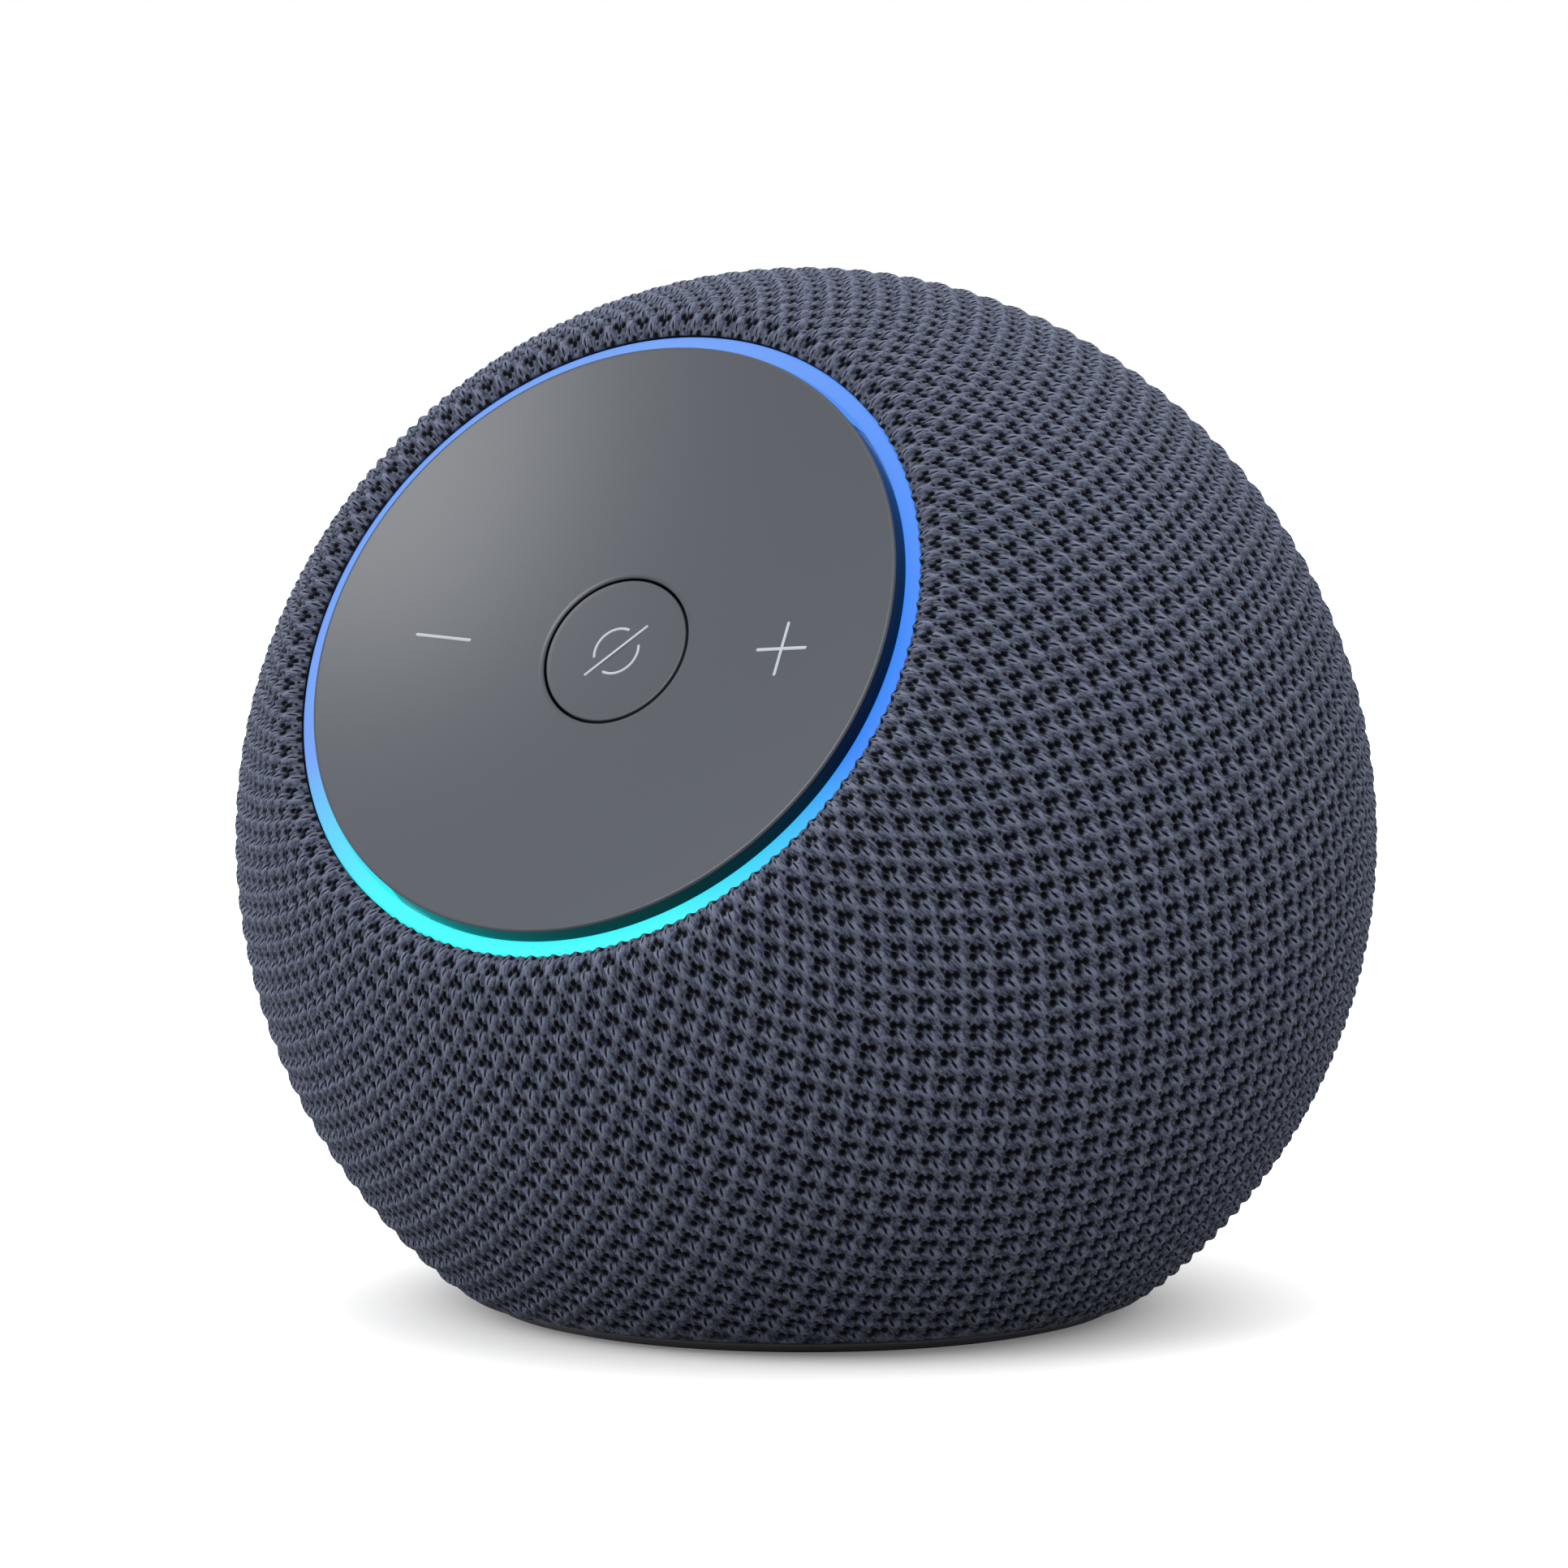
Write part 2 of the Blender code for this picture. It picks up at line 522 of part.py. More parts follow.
def make_face_plate():
    """Concave plate with a skirt, a collar round the button, two pressers and two pivot lugs."""
    hole = BUTTON_RADIUS + BUTTON_GAP
    collar = hole + 1.3 * MM
    skirt_inner = PLATE_RADIUS - 1.5 * MM
    profile = dish_points(hole, PLATE_RADIUS - 0.25 * MM, 0, 6)
    profile += [(PLATE_RADIUS, PLATE_RIM - 0.25 * MM), (PLATE_RADIUS, PLATE_RIM - PLATE_SKIRT)]
    profile += [(skirt_inner, PLATE_RIM - PLATE_SKIRT)]
    profile += dish_points(skirt_inner, collar, PLATE_THICKNESS, 3)
    profile += [(collar, COLLAR_END), (hole, COLLAR_END)]
    plate = turned("face_plate", profile, FACE_FRAME, RING_STEPS)
    for side in (-1, 1):
        x = side * VOLUME_KEY_OFFSET
        presser = disc(f"presser_{side + 2}", 1.5 * MM, PRESSER_END,
                       dish(VOLUME_KEY_OFFSET) - PLATE_THICKNESS / 2, FACE_FRAME, 12, (x, 0, 0))
        top = dish(PIVOT_OFFSET) - PLATE_THICKNESS / 2
        low = PIVOT_HEIGHT - 1.4 * MM
        lug = block(f"pivot_lug_{side + 2}", (3.6 * MM, 1.6 * MM, top - low),
                    (0, side * PIVOT_OFFSET, (top + low) / 2), FACE_FRAME)
        join(plate, make_cutter(presser), make_cutter(lug))
    cut(plate, *PIVOT_BORES)
    return finish(plate, (0.115, 0.127, 0.147), 0.42)


def make_mute_button():
    """Cap flush with the dish, a flange that the collar holds in, and a stem to the key."""
    flange = BUTTON_RADIUS + 1.15 * MM
    flange_top = COLLAR_END - LAYER_GAP
    flange_low = flange_top - 0.7 * MM
    profile = dish_points(0, BUTTON_RADIUS - 0.12 * MM, 0, 3)
    profile += [(BUTTON_RADIUS, dish(BUTTON_RADIUS) - 0.12 * MM), (BUTTON_RADIUS, flange_top)]
    profile += [(flange, flange_top), (flange, flange_low), (BUTTON_RADIUS - 1.2 * MM, flange_low)]
    profile += [(BUTTON_RADIUS - 1.2 * MM, flange_top + 0.6 * MM), (2 * MM, flange_top + 0.6 * MM)]
    profile += [(2 * MM, PRESSER_END), (0, PRESSER_END)]
    button = turned("mute_button", profile, FACE_FRAME, SMALL_STEPS, False)
    return finish(button, (0.11, 0.122, 0.142), 0.42)


def make_light_ring():
    inner = PLATE_RADIUS + LAYER_GAP
    outer = OPENING_RADIUS - LAYER_GAP
    bottom = RING_TOP - RING_DEPTH
    foot = PLATE_RADIUS - RING_FOOT
    profile = [(inner, RING_TOP), (outer, RING_TOP), (outer, bottom), (foot, bottom)]
    profile += [(foot, RING_FOOT_TOP), (inner, RING_FOOT_TOP)]
    light = turned("light_ring", profile, FACE_FRAME, RING_STEPS)
    return finish(light, (0.25, 0.55, 1.0), 0.3)


def make_face_carrier():
    """Tray that holds the boards, with slotted posts for the pivot pins and a cable hole."""
    outer = OPENING_RADIUS - LAYER_GAP
    step = outer - 2.8 * MM
    profile = [(0, CARRIER_FLOOR_TOP), (step, CARRIER_FLOOR_TOP), (step, CARRIER_RIM)]
    profile += [(outer, CARRIER_RIM), (outer, CARRIER_BOTTOM), (0, CARRIER_BOTTOM)]
    carrier = turned("face_carrier", profile, FACE_FRAME, RING_STEPS, False)
    top = PIVOT_HEIGHT + 1.5 * MM
    low = CARRIER_FLOOR_TOP - 0.5 * MM
    for i, offset in enumerate((-1.9 * MM, 1.9 * MM)):
        for side in (-1, 1):
            y = side * PIVOT_OFFSET + offset
            post = block(f"pivot_post_{2 * i + (side + 3) // 2}", (3.6 * MM, 1.6 * MM, top - low),
                         (0, y, (top + low) / 2), FACE_FRAME)
            join(carrier, make_cutter(post))
    cable_hole = block("cable_hole", (10 * MM, 4 * MM, 8 * MM), (0, CABLE_HOLE_OFFSET, CARRIER_BOTTOM),
                       FACE_FRAME)
    cut(carrier, make_cutter(cable_hole), *PIVOT_BORES, *FACE_SCREW_HOLES)
    return finish(carrier, (0.03, 0.03, 0.033), 0.55)


def make_pivot_pins():
    for side, word in ((-1, "lower"), (1, "upper")):
        centre = (0, side * PIVOT_OFFSET, PIVOT_HEIGHT)
        pin = disc(f"pivot_pin_{word}", PIVOT_PIN_RADIUS, -2.9 * MM, 2.9 * MM, FACE_FRAME, 16, centre,
                   (radians(90), 0, 0))
        finish(pin, (0.6, 0.6, 0.62), 0.25, 1.0)


def make_face_boards():
    """Bar-shaped control board with keys and microphones; ring board with its strip of LEDs."""
    key_radius = 3.2 * MM
    half_length = VOLUME_KEY_OFFSET + key_radius + 0.3 * MM
    thickness = CONTROL_BOARD_TOP - CONTROL_BOARD_BOTTOM
    board = block("control_board", (2 * half_length, 2 * BOARD_HALF_WIDTH, thickness),
                  (0, 0, CONTROL_BOARD_BOTTOM + thickness / 2), FACE_FRAME)
    finish(board, (0.01, 0.07, 0.03), 0.45)
    for i, word in enumerate(("minus", "mute", "plus")):
        x = (i - 1) * VOLUME_KEY_OFFSET
        profile = [(0, KEY_TOP), (1.6 * MM, KEY_TOP), (2.4 * MM, KEY_BOTTOM + 0.5 * MM)]
        profile += [(key_radius, KEY_BOTTOM + 0.4 * MM), (key_radius, KEY_BOTTOM), (0, KEY_BOTTOM)]
        key = turned(f"{word}_key_dome", profile, FACE_FRAME, PIN_STEPS, False, (x, 0, 0))
        finish(key, (0.3, 0.3, 0.3), 0.8)
    beside_key = VOLUME_KEY_OFFSET - 7 * MM
    for i, x in enumerate((-beside_key, beside_key)):
        size = (3.5 * MM, 2.7 * MM, 1.0 * MM)
        mic = block(f"microphone_{i + 1}", size, (x, 4 * MM, KEY_BOTTOM + size[2] / 2), FACE_FRAME,
                    bevel=0.15 * MM)
        finish(mic, (0.7, 0.62, 0.35), 0.3, 1.0)

    inner = PLATE_RADIUS - RING_FOOT
    outer = OPENING_RADIUS - LAYER_GAP
    finish(ring("led_board", inner, outer, RING_BOARD_BOTTOM, RING_BOARD_TOP, FACE_FRAME, RING_STEPS),
           (0.85, 0.85, 0.83), 0.5)
    strip_low = RING_BOARD_TOP + LAYER_GAP
    strip_high = strip_low + 0.25 * MM
    strip = ring("led_strip", inner + 0.6 * MM, outer - 0.7 * MM, strip_low, strip_high, FACE_FRAME, RING_STEPS)
    middle = (inner + outer) / 2
    height = LED_HEIGHT - 0.1 * MM
    for i, (x, y) in enumerate(rounds(12, 0, middle)):
        led = block(f"led_{i + 1}", (1.6 * MM, 2.2 * MM, height), (x, y, strip_low + 0.1 * MM + height / 2),
                    FACE_FRAME, (0, 0, atan2(y, x)))
        join(strip, make_cutter(led))
    finish(strip, (0.9, 0.88, 0.7), 0.35)


def make_face_cable():
    """Ribbon from the tray, round the bottom of the enclosure and down to the main board."""
    to_front = Vector((0, -cos(FACE_TILT), sin(FACE_TILT)))
    up_face = Vector((0, sin(FACE_TILT), cos(FACE_TILT)))
    centre = Vector((0, 0, CENTRE_HEIGHT))
    under = RIM_BOTTOM - ENCLOSURE_DEPTH + ENCLOSURE_WALL - 2.6 * MM
    gap_middle = (ARM_BOTTOM + ENCLOSURE_RADIUS) / 2 + 0.3 * MM

    def at(distance, up):
        return centre + distance * to_front + up * up_face

    start = at(CONTROL_BOARD_BOTTOM - 0.8 * MM, CABLE_HOLE_OFFSET)
    landing = at(5 * MM, under)
    corners = [start, at(CARRIER_BOTTOM - 0.6 * MM, CABLE_HOLE_OFFSET - 0.4 * MM),
               at(gap_middle, CABLE_HOLE_OFFSET - 4 * MM), at(gap_middle, under + 4 * MM),
               at(gap_middle - 3.5 * MM, under), landing]
    corners.append(Vector((0, CABLE_FOOT, (landing.z + PART_BOTTOM) / 2)))
    corners.append(Vector((0, CABLE_FOOT, PART_BOTTOM + 0.3 * MM)))
    points = smooth_route(corners, 3)
    half = 3.8 * MM
    mesh = bpy.data.meshes.new("face_cable")
    verts = [(side * half, p.y, p.z) for p in points for side in (-1, 1)]
    faces = [(2 * i, 2 * i + 1, 2 * i + 3, 2 * i + 2) for i in range(len(points) - 1)]
    mesh.from_pydata(verts, [], faces)
    cable = new_object("face_cable", mesh)
    wall = cable.modifiers.new("wall", "SOLIDIFY")
    wall.thickness = 0.3 * MM
    wall.offset = 0
    place(cable, GROUND)
    return finish(cable, (0.5, 0.33, 0.12), 0.4)


def make_face_screws():
    for i, (x, y) in enumerate(FACE_SCREW_PLACES):
        head_top = ARM_BOTTOM - LAYER_GAP
        screw_at(f"face_screw_{i + 1}", x, y, head_top - 1.2 * MM, head_top, CARRIER_RIM - 0.8 * MM,
                 SMALL_SCREW_RADIUS, SMALL_SCREW_HEAD, FACE_FRAME)


# ---- woofer --------------------------------------------------------------------------------


def make_basket():
    throat = WOOFER_RADIUS - 4.5 * MM
    foot = MAGNET_RADIUS - 2.4 * MM
    low = PLATE_TOP + LAYER_GAP
    wall = 1.1 * MM
    inner = COIL_RADIUS + 1.1 * MM
    profile = [(throat - wall, FLANGE_TOP), (WOOFER_RADIUS, FLANGE_TOP), (WOOFER_RADIUS, FLANGE_BOTTOM)]
    profile += [(throat, FLANGE_BOTTOM), (foot, low + 1.2 * MM), (foot, low)]
    profile += [(inner, low), (inner, low + wall)]
    profile += [(foot - wall, low + wall), (throat - wall, FLANGE_BOTTOM + 0.4 * MM)]
    basket = turned("woofer_basket", profile, WOOFER_FRAME)
    window_low = low + 3.6 * MM
    window_top = FLANGE_BOTTOM - 2.4 * MM
    for i in range(2):
        window = block(f"basket_window_{i + 1}", (3 * WOOFER_RADIUS, 12 * MM, window_top - window_low),
                       (0, 0, (window_top + window_low) / 2), WOOFER_FRAME, (0, 0, i * pi / 2))
        cut(basket, make_cutter(window))
    cut(basket, *WOOFER_SCREW_HOLES)
    finish(basket, (0.05, 0.05, 0.055), 0.4, 1.0)


def make_moving_cone():
    """Cone, dust cap and voice coil: they travel together along the woofer's axis."""
    coil_top = PLATE_TOP + 8.1 * MM
    coil_wall = 0.4 * MM
    coil = ring("voice_coil", COIL_RADIUS - coil_wall, COIL_RADIUS, PLATE_BOTTOM - 3.2 * MM, coil_top, WOOFER_FRAME)
    finish(coil, (0.6, 0.28, 0.12), 0.35, 1.0)

    neck = COIL_RADIUS + LAYER_GAP + 0.1 * MM
    wall = 0.7 * MM
    low = coil_top - 0.6 * MM
    high = FLANGE_TOP - 0.5 * MM
    profile = [(neck, low + wall), (CONE_EDGE_RADIUS - 0.5 * MM, high + wall), (CONE_EDGE_RADIUS, high)]
    profile += [(neck, low)]
    # The slope rises outwards, so its upper side is walked first and its lower side back.
    finish(turned("woofer_cone", profile, WOOFER_FRAME), (0.03, 0.03, 0.033), 0.6)

    cap_radius = COIL_RADIUS + 1.0 * MM
    slope = (high - low) / (CONE_EDGE_RADIUS - neck)
    base = low + wall + slope * (cap_radius - neck) + LAYER_GAP
    rise = 3.2 * MM
    profile = cap_arc(cap_radius, base, rise, 3)
    profile += cap_arc(cap_radius - 0.5 * MM, base, rise - 0.5 * MM, 3)[::-1]
    finish(turned("dust_cap", profile, WOOFER_FRAME, SMALL_STEPS, False), (0.02, 0.02, 0.022), 0.5)


def cap_arc(radius, base, rise, steps):
    """A shallow dome's profile, from its crown on the axis to its edge."""
    ball = (radius**2 + rise**2) / (2 * rise)
    return arc(ball, (0, base + rise - ball), 0, asin(radius / ball), steps)


def make_suspension():
    """Half-roll surround and corrugated spider: both stretch as the cone travels."""
    first = CONE_EDGE_RADIUS + LAYER_GAP
    last = WOOFER_RADIUS - 3.2 * MM
    base = FLANGE_TOP + LAYER_GAP
    wall = 0.5 * MM
    roll_out = WOOFER_RADIUS - 4.6 * MM
    roll_in = first + 0.7 * MM
    middle = (roll_in + roll_out) / 2
    roll = (roll_out - roll_in) / 2
    profile = [(first, base + wall)] + arc(roll, (middle, base + wall), -pi / 2, pi / 2, 5)
    profile += [(last, base + wall), (last, base)]
    profile += arc(roll - wall, (middle, base), pi / 2, -pi / 2, 4) + [(first, base)]
    finish(turned("woofer_surround", profile, WOOFER_FRAME), (0.015, 0.015, 0.016), 0.7)

    height = PLATE_TOP + 3.5 * MM
    first = COIL_RADIUS + LAYER_GAP
    last = MAGNET_RADIUS - 3.2 * MM
    waves = 4
    top = []
    for i in range(waves + 1):
        top.append((first + (last - first) * i / waves, height + (i % 2) * 0.7 * MM))
    bottom = [(r, h - 0.4 * MM) for r, h in reversed(top)]
    finish(turned("woofer_spider", top + bottom, WOOFER_FRAME), (0.55, 0.4, 0.15), 0.85)


def make_motor():
    """Top plate, ring magnet and yoke, stacked round the voice coil."""
    air_gap = COIL_RADIUS + 0.45 * MM
    plate = ring("woofer_top_plate", air_gap, MAGNET_RADIUS, PLATE_BOTTOM, PLATE_TOP, WOOFER_FRAME)
    finish(plate, (0.5, 0.5, 0.52), 0.35, 1.0)
    hole = COIL_RADIUS + 2.2 * MM
    magnet = ring("woofer_magnet", hole, MAGNET_RADIUS, MAGNET_BOTTOM, MAGNET_TOP, WOOFER_FRAME)
    finish(magnet, (0.06, 0.06, 0.065), 0.55, 0.3)
    pole = COIL_RADIUS - 0.9 * MM
    vent = 2.0 * MM
    profile = [(vent, PLATE_TOP), (pole, PLATE_TOP), (pole, YOKE_TOP), (MAGNET_RADIUS, YOKE_TOP)]
    profile += [(MAGNET_RADIUS, YOKE_BOTTOM), (vent, YOKE_BOTTOM)]
    finish(turned("woofer_yoke", profile, WOOFER_FRAME), (0.5, 0.5, 0.52), 0.35, 1.0)


def make_enclosure():
    """Sealed cup behind the woofer, its rim under the basket's flange."""
    inner = ENCLOSURE_RADIUS - ENCLOSURE_WALL
    bottom = RIM_TOP - ENCLOSURE_DEPTH
    corner = 4 * MM
    inner_corner = corner - ENCLOSURE_WALL
    profile = [(0, bottom + ENCLOSURE_WALL)]
    profile += arc(inner_corner, (inner - inner_corner, bottom + corner), pi, pi / 2, 3)
    profile += [(inner, RIM_TOP), (WOOFER_RADIUS, RIM_TOP), (WOOFER_RADIUS, RIM_BOTTOM)]
    profile += [(ENCLOSURE_RADIUS, RIM_BOTTOM)]
    profile += arc(corner, (ENCLOSURE_RADIUS - corner, bottom + corner), pi / 2, pi, 3) + [(0, bottom)]
    cup = turned("speaker_enclosure", profile, WOOFER_FRAME, SMALL_STEPS, False)
    cut(cup, *WOOFER_SCREW_HOLES)
    finish(cup, (0.025, 0.025, 0.028), 0.5)

    gasket_inner = WOOFER_RADIUS - 2.9 * MM
    gasket_outer = WOOFER_RADIUS - 0.2 * MM
    gasket_low = GASKET_TOP - 0.6 * MM
    gasket = ring("woofer_gasket", gasket_inner, gasket_outer, gasket_low, GASKET_TOP, WOOFER_FRAME)
    cut(gasket, *WOOFER_SCREW_HOLES)
    finish(gasket, (0.02, 0.02, 0.02), 0.9)
    for i, (x, y) in enumerate(WOOFER_SCREW_PLACES):
        head_top = RIM_BOTTOM - LAYER_GAP
        screw_at(f"woofer_screw_{i + 1}", x, y, head_top - 1.2 * MM, head_top, LEDGE_TOP - 0.6 * MM,
                 SMALL_SCREW_RADIUS, SMALL_SCREW_HEAD, WOOFER_FRAME)


# ---- tweeter -------------------------------------------------------------------------------


def make_tweeter():
    """Frame cup, sprung dome with its coil, and a magnet cup behind."""
    body = TWEETER_RADIUS - 1.5 * MM
    mouth = DOME_RADIUS + 0.6 * MM
    profile = [(mouth, TWEETER_TOP), (TWEETER_RADIUS, TWEETER_TOP), (TWEETER_RADIUS, TWEETER_FLANGE)]
    profile += [(body, TWEETER_FLANGE), (body, TWEETER_BACK), (mouth - 1.6 * MM, TWEETER_BACK)]
    profile += [(mouth - 1.6 * MM, TWEETER_BACK + 1.2 * MM), (mouth, TWEETER_BACK + 1.2 * MM)]
    finish(turned("tweeter_frame", profile, TWEETER_FRAME), (0.03, 0.03, 0.033), 0.5)

    base = TWEETER_TOP - 3.4 * MM
    skirt = base - 2.6 * MM
    wall = 0.4 * MM
    profile = cap_arc(DOME_RADIUS, base, 2.4 * MM, 3) + [(DOME_RADIUS, skirt), (DOME_RADIUS - wall, skirt)]
    profile += cap_arc(DOME_RADIUS - wall, base, 2.0 * MM, 3)[::-1]
    finish(turned("tweeter_dome", profile, TWEETER_FRAME, SMALL_STEPS, False), (0.08, 0.07, 0.06), 0.6)

    top = TWEETER_BACK - LAYER_GAP
    side = body - 0.3 * MM
    end = top - 5 * MM
    profile = [(0, top), (side, top), (side, end + 0.6 * MM), (side - 0.8 * MM, end), (0, end)]
    finish(turned("tweeter_magnet", profile, TWEETER_FRAME, SMALL_STEPS, False), (0.5, 0.5, 0.52), 0.3, 1.0)
    return end


# ---- main board ----------------------------------------------------------------------------


def make_main_board():
    board = disc("main_board", BOARD_RADIUS, BOARD_BOTTOM, BOARD_TOP, GROUND, RING_STEPS)
    cut(board, *BOARD_SCREW_HOLES)
    finish(board, (0.01, 0.07, 0.03), 0.45)

    def on_board(name, width, depth, height, x, y, colour, roughness, metallic=0.0, turn=0.0, lift=0.0):
        centre = (x, y, PART_BOTTOM + lift + height / 2)
        obj = block(name, (width, depth, height), centre, GROUND, (0, 0, turn), 0.2 * MM)
        return finish(obj, colour, roughness, metallic)

    shield_height = 2.0 * MM
    shield_y = -1 * MM
    tinned = (0.62, 0.62, 0.64)
    on_board("processor_shield", 18 * MM, 15 * MM, shield_height, 0, shield_y, tinned, 0.35, 1.0)
    on_board("amplifier_chip", 7 * MM, 7 * MM, 1.0 * MM, -18 * MM, 8 * MM, (0.015, 0.015, 0.016), 0.5)
    # The antenna stands across a radius of the board, clear of the second board screw.
    turn = BOARD_SCREW_ANGLE + radians(24)
    reach = BOARD_RADIUS - 7 * MM
    on_board("wireless_antenna", 1.0 * MM, 14 * MM, 8 * MM, -reach * cos(turn), -reach * sin(turn),
             (0.01, 0.07, 0.03), 0.45, turn=turn)
    coil = disc("power_inductor", 4.5 * MM, PART_BOTTOM, PART_BOTTOM + 4.5 * MM, GROUND, SMALL_STEPS,
                (18 * MM, 8 * MM, 0))
    finish(coil, (0.06, 0.06, 0.065), 0.6)

    sink_low = PART_BOTTOM + shield_height + LAYER_GAP
    base_height = 1.0 * MM
    sink_middle = (0, shield_y - 1 * MM, sink_low + base_height / 2)
    sink = block("heat_sink", (16 * MM, 11 * MM, base_height), sink_middle, GROUND)
    fin_height = 3.2 * MM
    for i in range(5):
        x = (i - 2) * 3.4 * MM
        fin = block(f"heat_fin_{i + 1}", (1.0 * MM, 10.6 * MM, fin_height),
                    (x, shield_y - 1 * MM, sink_low + 0.5 * MM + fin_height / 2), GROUND)
        join(sink, make_cutter(fin))
    finish(sink, (0.55, 0.55, 0.57), 0.4, 1.0)

    for i, (x, y) in enumerate(BOARD_SCREW_PLACES):
        low = BOARD_TOP + LAYER_GAP
        profile = [(0, low + 1.2 * MM), (2 * MM, low + 1.2 * MM), (2 * MM, low), (BASE_SCREW_RADIUS, low)]
        profile += [(BASE_SCREW_RADIUS, FLOOR_TOP + 0.6 * MM), (0, FLOOR_TOP + 0.6 * MM)]
        screw = turned(f"board_screw_{i + 1}", profile, GROUND, SCREW_STEPS, False, (x, y, 0))
        finish(screw, (0.35, 0.35, 0.37), 0.35, 1.0)
    head_low = FOOT_THICKNESS + 0.6 * MM
    head_high = head_low + BASE_SCREW_HEAD_HEIGHT
    tip = POST_TOP - 0.9 * MM
    for i, (x, y) in enumerate(BASE_SCREW_PLACES):
        screw_at(f"base_screw_{i + 1}", x, y, head_low, head_high, tip, BASE_SCREW_RADIUS, BASE_SCREW_HEAD,
                 GROUND)


def make_leads(tweeter_end):
    """Two round leads: enclosure to board and tweeter to board."""
    centre = Vector((0, 0, CENTRE_HEIGHT))
    up_face = Vector((0, sin(FACE_TILT), cos(FACE_TILT)))
    to_front = Vector((0, -cos(FACE_TILT), sin(FACE_TILT)))
    side = Vector((11 * MM, 0, 0))
    start = centre + (RIM_TOP - ENCLOSURE_DEPTH - 0.6 * MM) * up_face - 6 * MM * to_front + side
    foot = Vector((14 * MM, start.y + 1 * MM, PART_BOTTOM + 0.7 * MM))
    bend = (start + foot) / 2 + Vector((2 * MM, 0, 0))
    points = smooth_route([start, start - 3 * MM * up_face, bend, foot], 4)
    finish(wire("woofer_lead", points, 0.7 * MM, GROUND), (0.45, 0.02, 0.02), 0.5)

    axis = Vector((0, -cos(TWEETER_ELEVATION), sin(TWEETER_ELEVATION)))
    start = centre + (tweeter_end - 1.0 * MM) * axis - 0.6 * side
    foot = Vector((-11 * MM, start.y + 7 * MM, PART_BOTTOM + 0.6 * MM))
    middle = (start + foot) / 2 + Vector((0, 1 * MM, 0))
    points = smooth_route([start, start - 2.5 * MM * axis, middle, foot], 4)
    finish(wire("tweeter_lead", points, 0.6 * MM, GROUND), (0.02, 0.02, 0.02), 0.5)


# ---- build ---------------------------------------------------------------------------------

clear_scene()
PARTS = new_collection("smart_speaker")
CUTTERS = new_collection("cutters")

GROUND = new_empty("ground_frame", (0, 0, 0))
BALL_FRAME = new_empty("ball_frame", (0, 0, CENTRE_HEIGHT))
FACE_FRAME = new_empty("face_frame", (0, 0, CENTRE_HEIGHT), pi / 2 - FACE_TILT)
WOOFER_FRAME = new_empty("woofer_frame", (0, 0, CENTRE_HEIGHT), -FACE_TILT)
TWEETER_FRAME = new_empty("tweeter_frame_axis", (0, 0, CENTRE_HEIGHT), pi / 2 - TWEETER_ELEVATION)

FACE_SCREW_PLACES = [(FACE_SCREW_CIRCLE * cos(a), FACE_SCREW_CIRCLE * sin(a)) for a in FACE_ARM_ANGLES]
WOOFER_SCREW_PLACES = rounds(4, pi / 4, WOOFER_SCREW_CIRCLE)
BASE_SCREW_PLACES = rounds(4, pi / 4, BASE_SCREW_CIRCLE)
BOARD_SCREW_PLACES = rounds(2, BOARD_SCREW_ANGLE, BOARD_RADIUS - 4 * MM)


def holes(name, places, radius, bottom, top, parent):
    """Cutters for screw holes at places."""
    made = []
    for i, (x, y) in enumerate(places):
        hole = disc(f"{name}_{i + 1}", radius, bottom, top, parent, SCREW_STEPS, (x, y, 0))
        made.append(make_cutter(hole))
    return made


small_hole = SMALL_SCREW_RADIUS + HOLE_CLEARANCE
base_hole = BASE_SCREW_RADIUS + HOLE_CLEARANCE
FACE_SCREW_HOLES = holes("face_screw_hole", FACE_SCREW_PLACES, small_hole, ARM_BOTTOM - 1 * MM,
                         CARRIER_RIM - 0.5 * MM, FACE_FRAME)
WOOFER_SCREW_HOLES = holes("woofer_screw_hole", WOOFER_SCREW_PLACES, small_hole, RIM_BOTTOM - 1 * MM,
                           LEDGE_TOP - 0.3 * MM, WOOFER_FRAME)
BASE_SCREW_HOLES = holes("base_screw_hole", BASE_SCREW_PLACES, base_hole, FOOT_THICKNESS,
                         POST_TOP - 0.6 * MM, GROUND)
BASE_SCREW_SEATS = holes("base_screw_seat", BASE_SCREW_PLACES, BASE_SCREW_HEAD + HOLE_CLEARANCE,
                         FOOT_THICKNESS - 0.2 * MM, FOOT_THICKNESS + 1.9 * MM, GROUND)
BASE_SCREW_BORES = BASE_SCREW_HOLES + BASE_SCREW_SEATS
BOARD_SCREW_HOLES = holes("board_screw_hole", BOARD_SCREW_PLACES, base_hole, FLOOR_TOP + 0.3 * MM,
                          BOARD_TOP + 1 * MM, GROUND)
PIVOT_BORES = []
for name, side in (("lower", -1), ("upper", 1)):
    bore = disc(f"pivot_bore_{name}", PIVOT_PIN_RADIUS + PIVOT_CLEARANCE, -3.2 * MM, 3.2 * MM, FACE_FRAME,
                PIN_STEPS, (0, side * PIVOT_OFFSET, PIVOT_HEIGHT), (radians(90), 0, 0))
    PIVOT_BORES.append(make_cutter(bore))
BELOW_FABRIC = make_cutter(block("below_fabric", (3 * BODY_RADIUS, 3 * BODY_RADIUS, BODY_RADIUS),
                                 (0, 0, FABRIC_EDGE_HEIGHT - BODY_RADIUS / 2), GROUND))
INLET_HOLE = make_cutter(disc("inlet_hole", BEZEL_RADIUS + LAYER_GAP, RECESS_FLOOR - 9 * MM,
                              BODY_RADIUS + 5 * MM, GROUND, SMALL_STEPS, (0, 0, INLET_HEIGHT),
                              (radians(-90), 0, 0)))

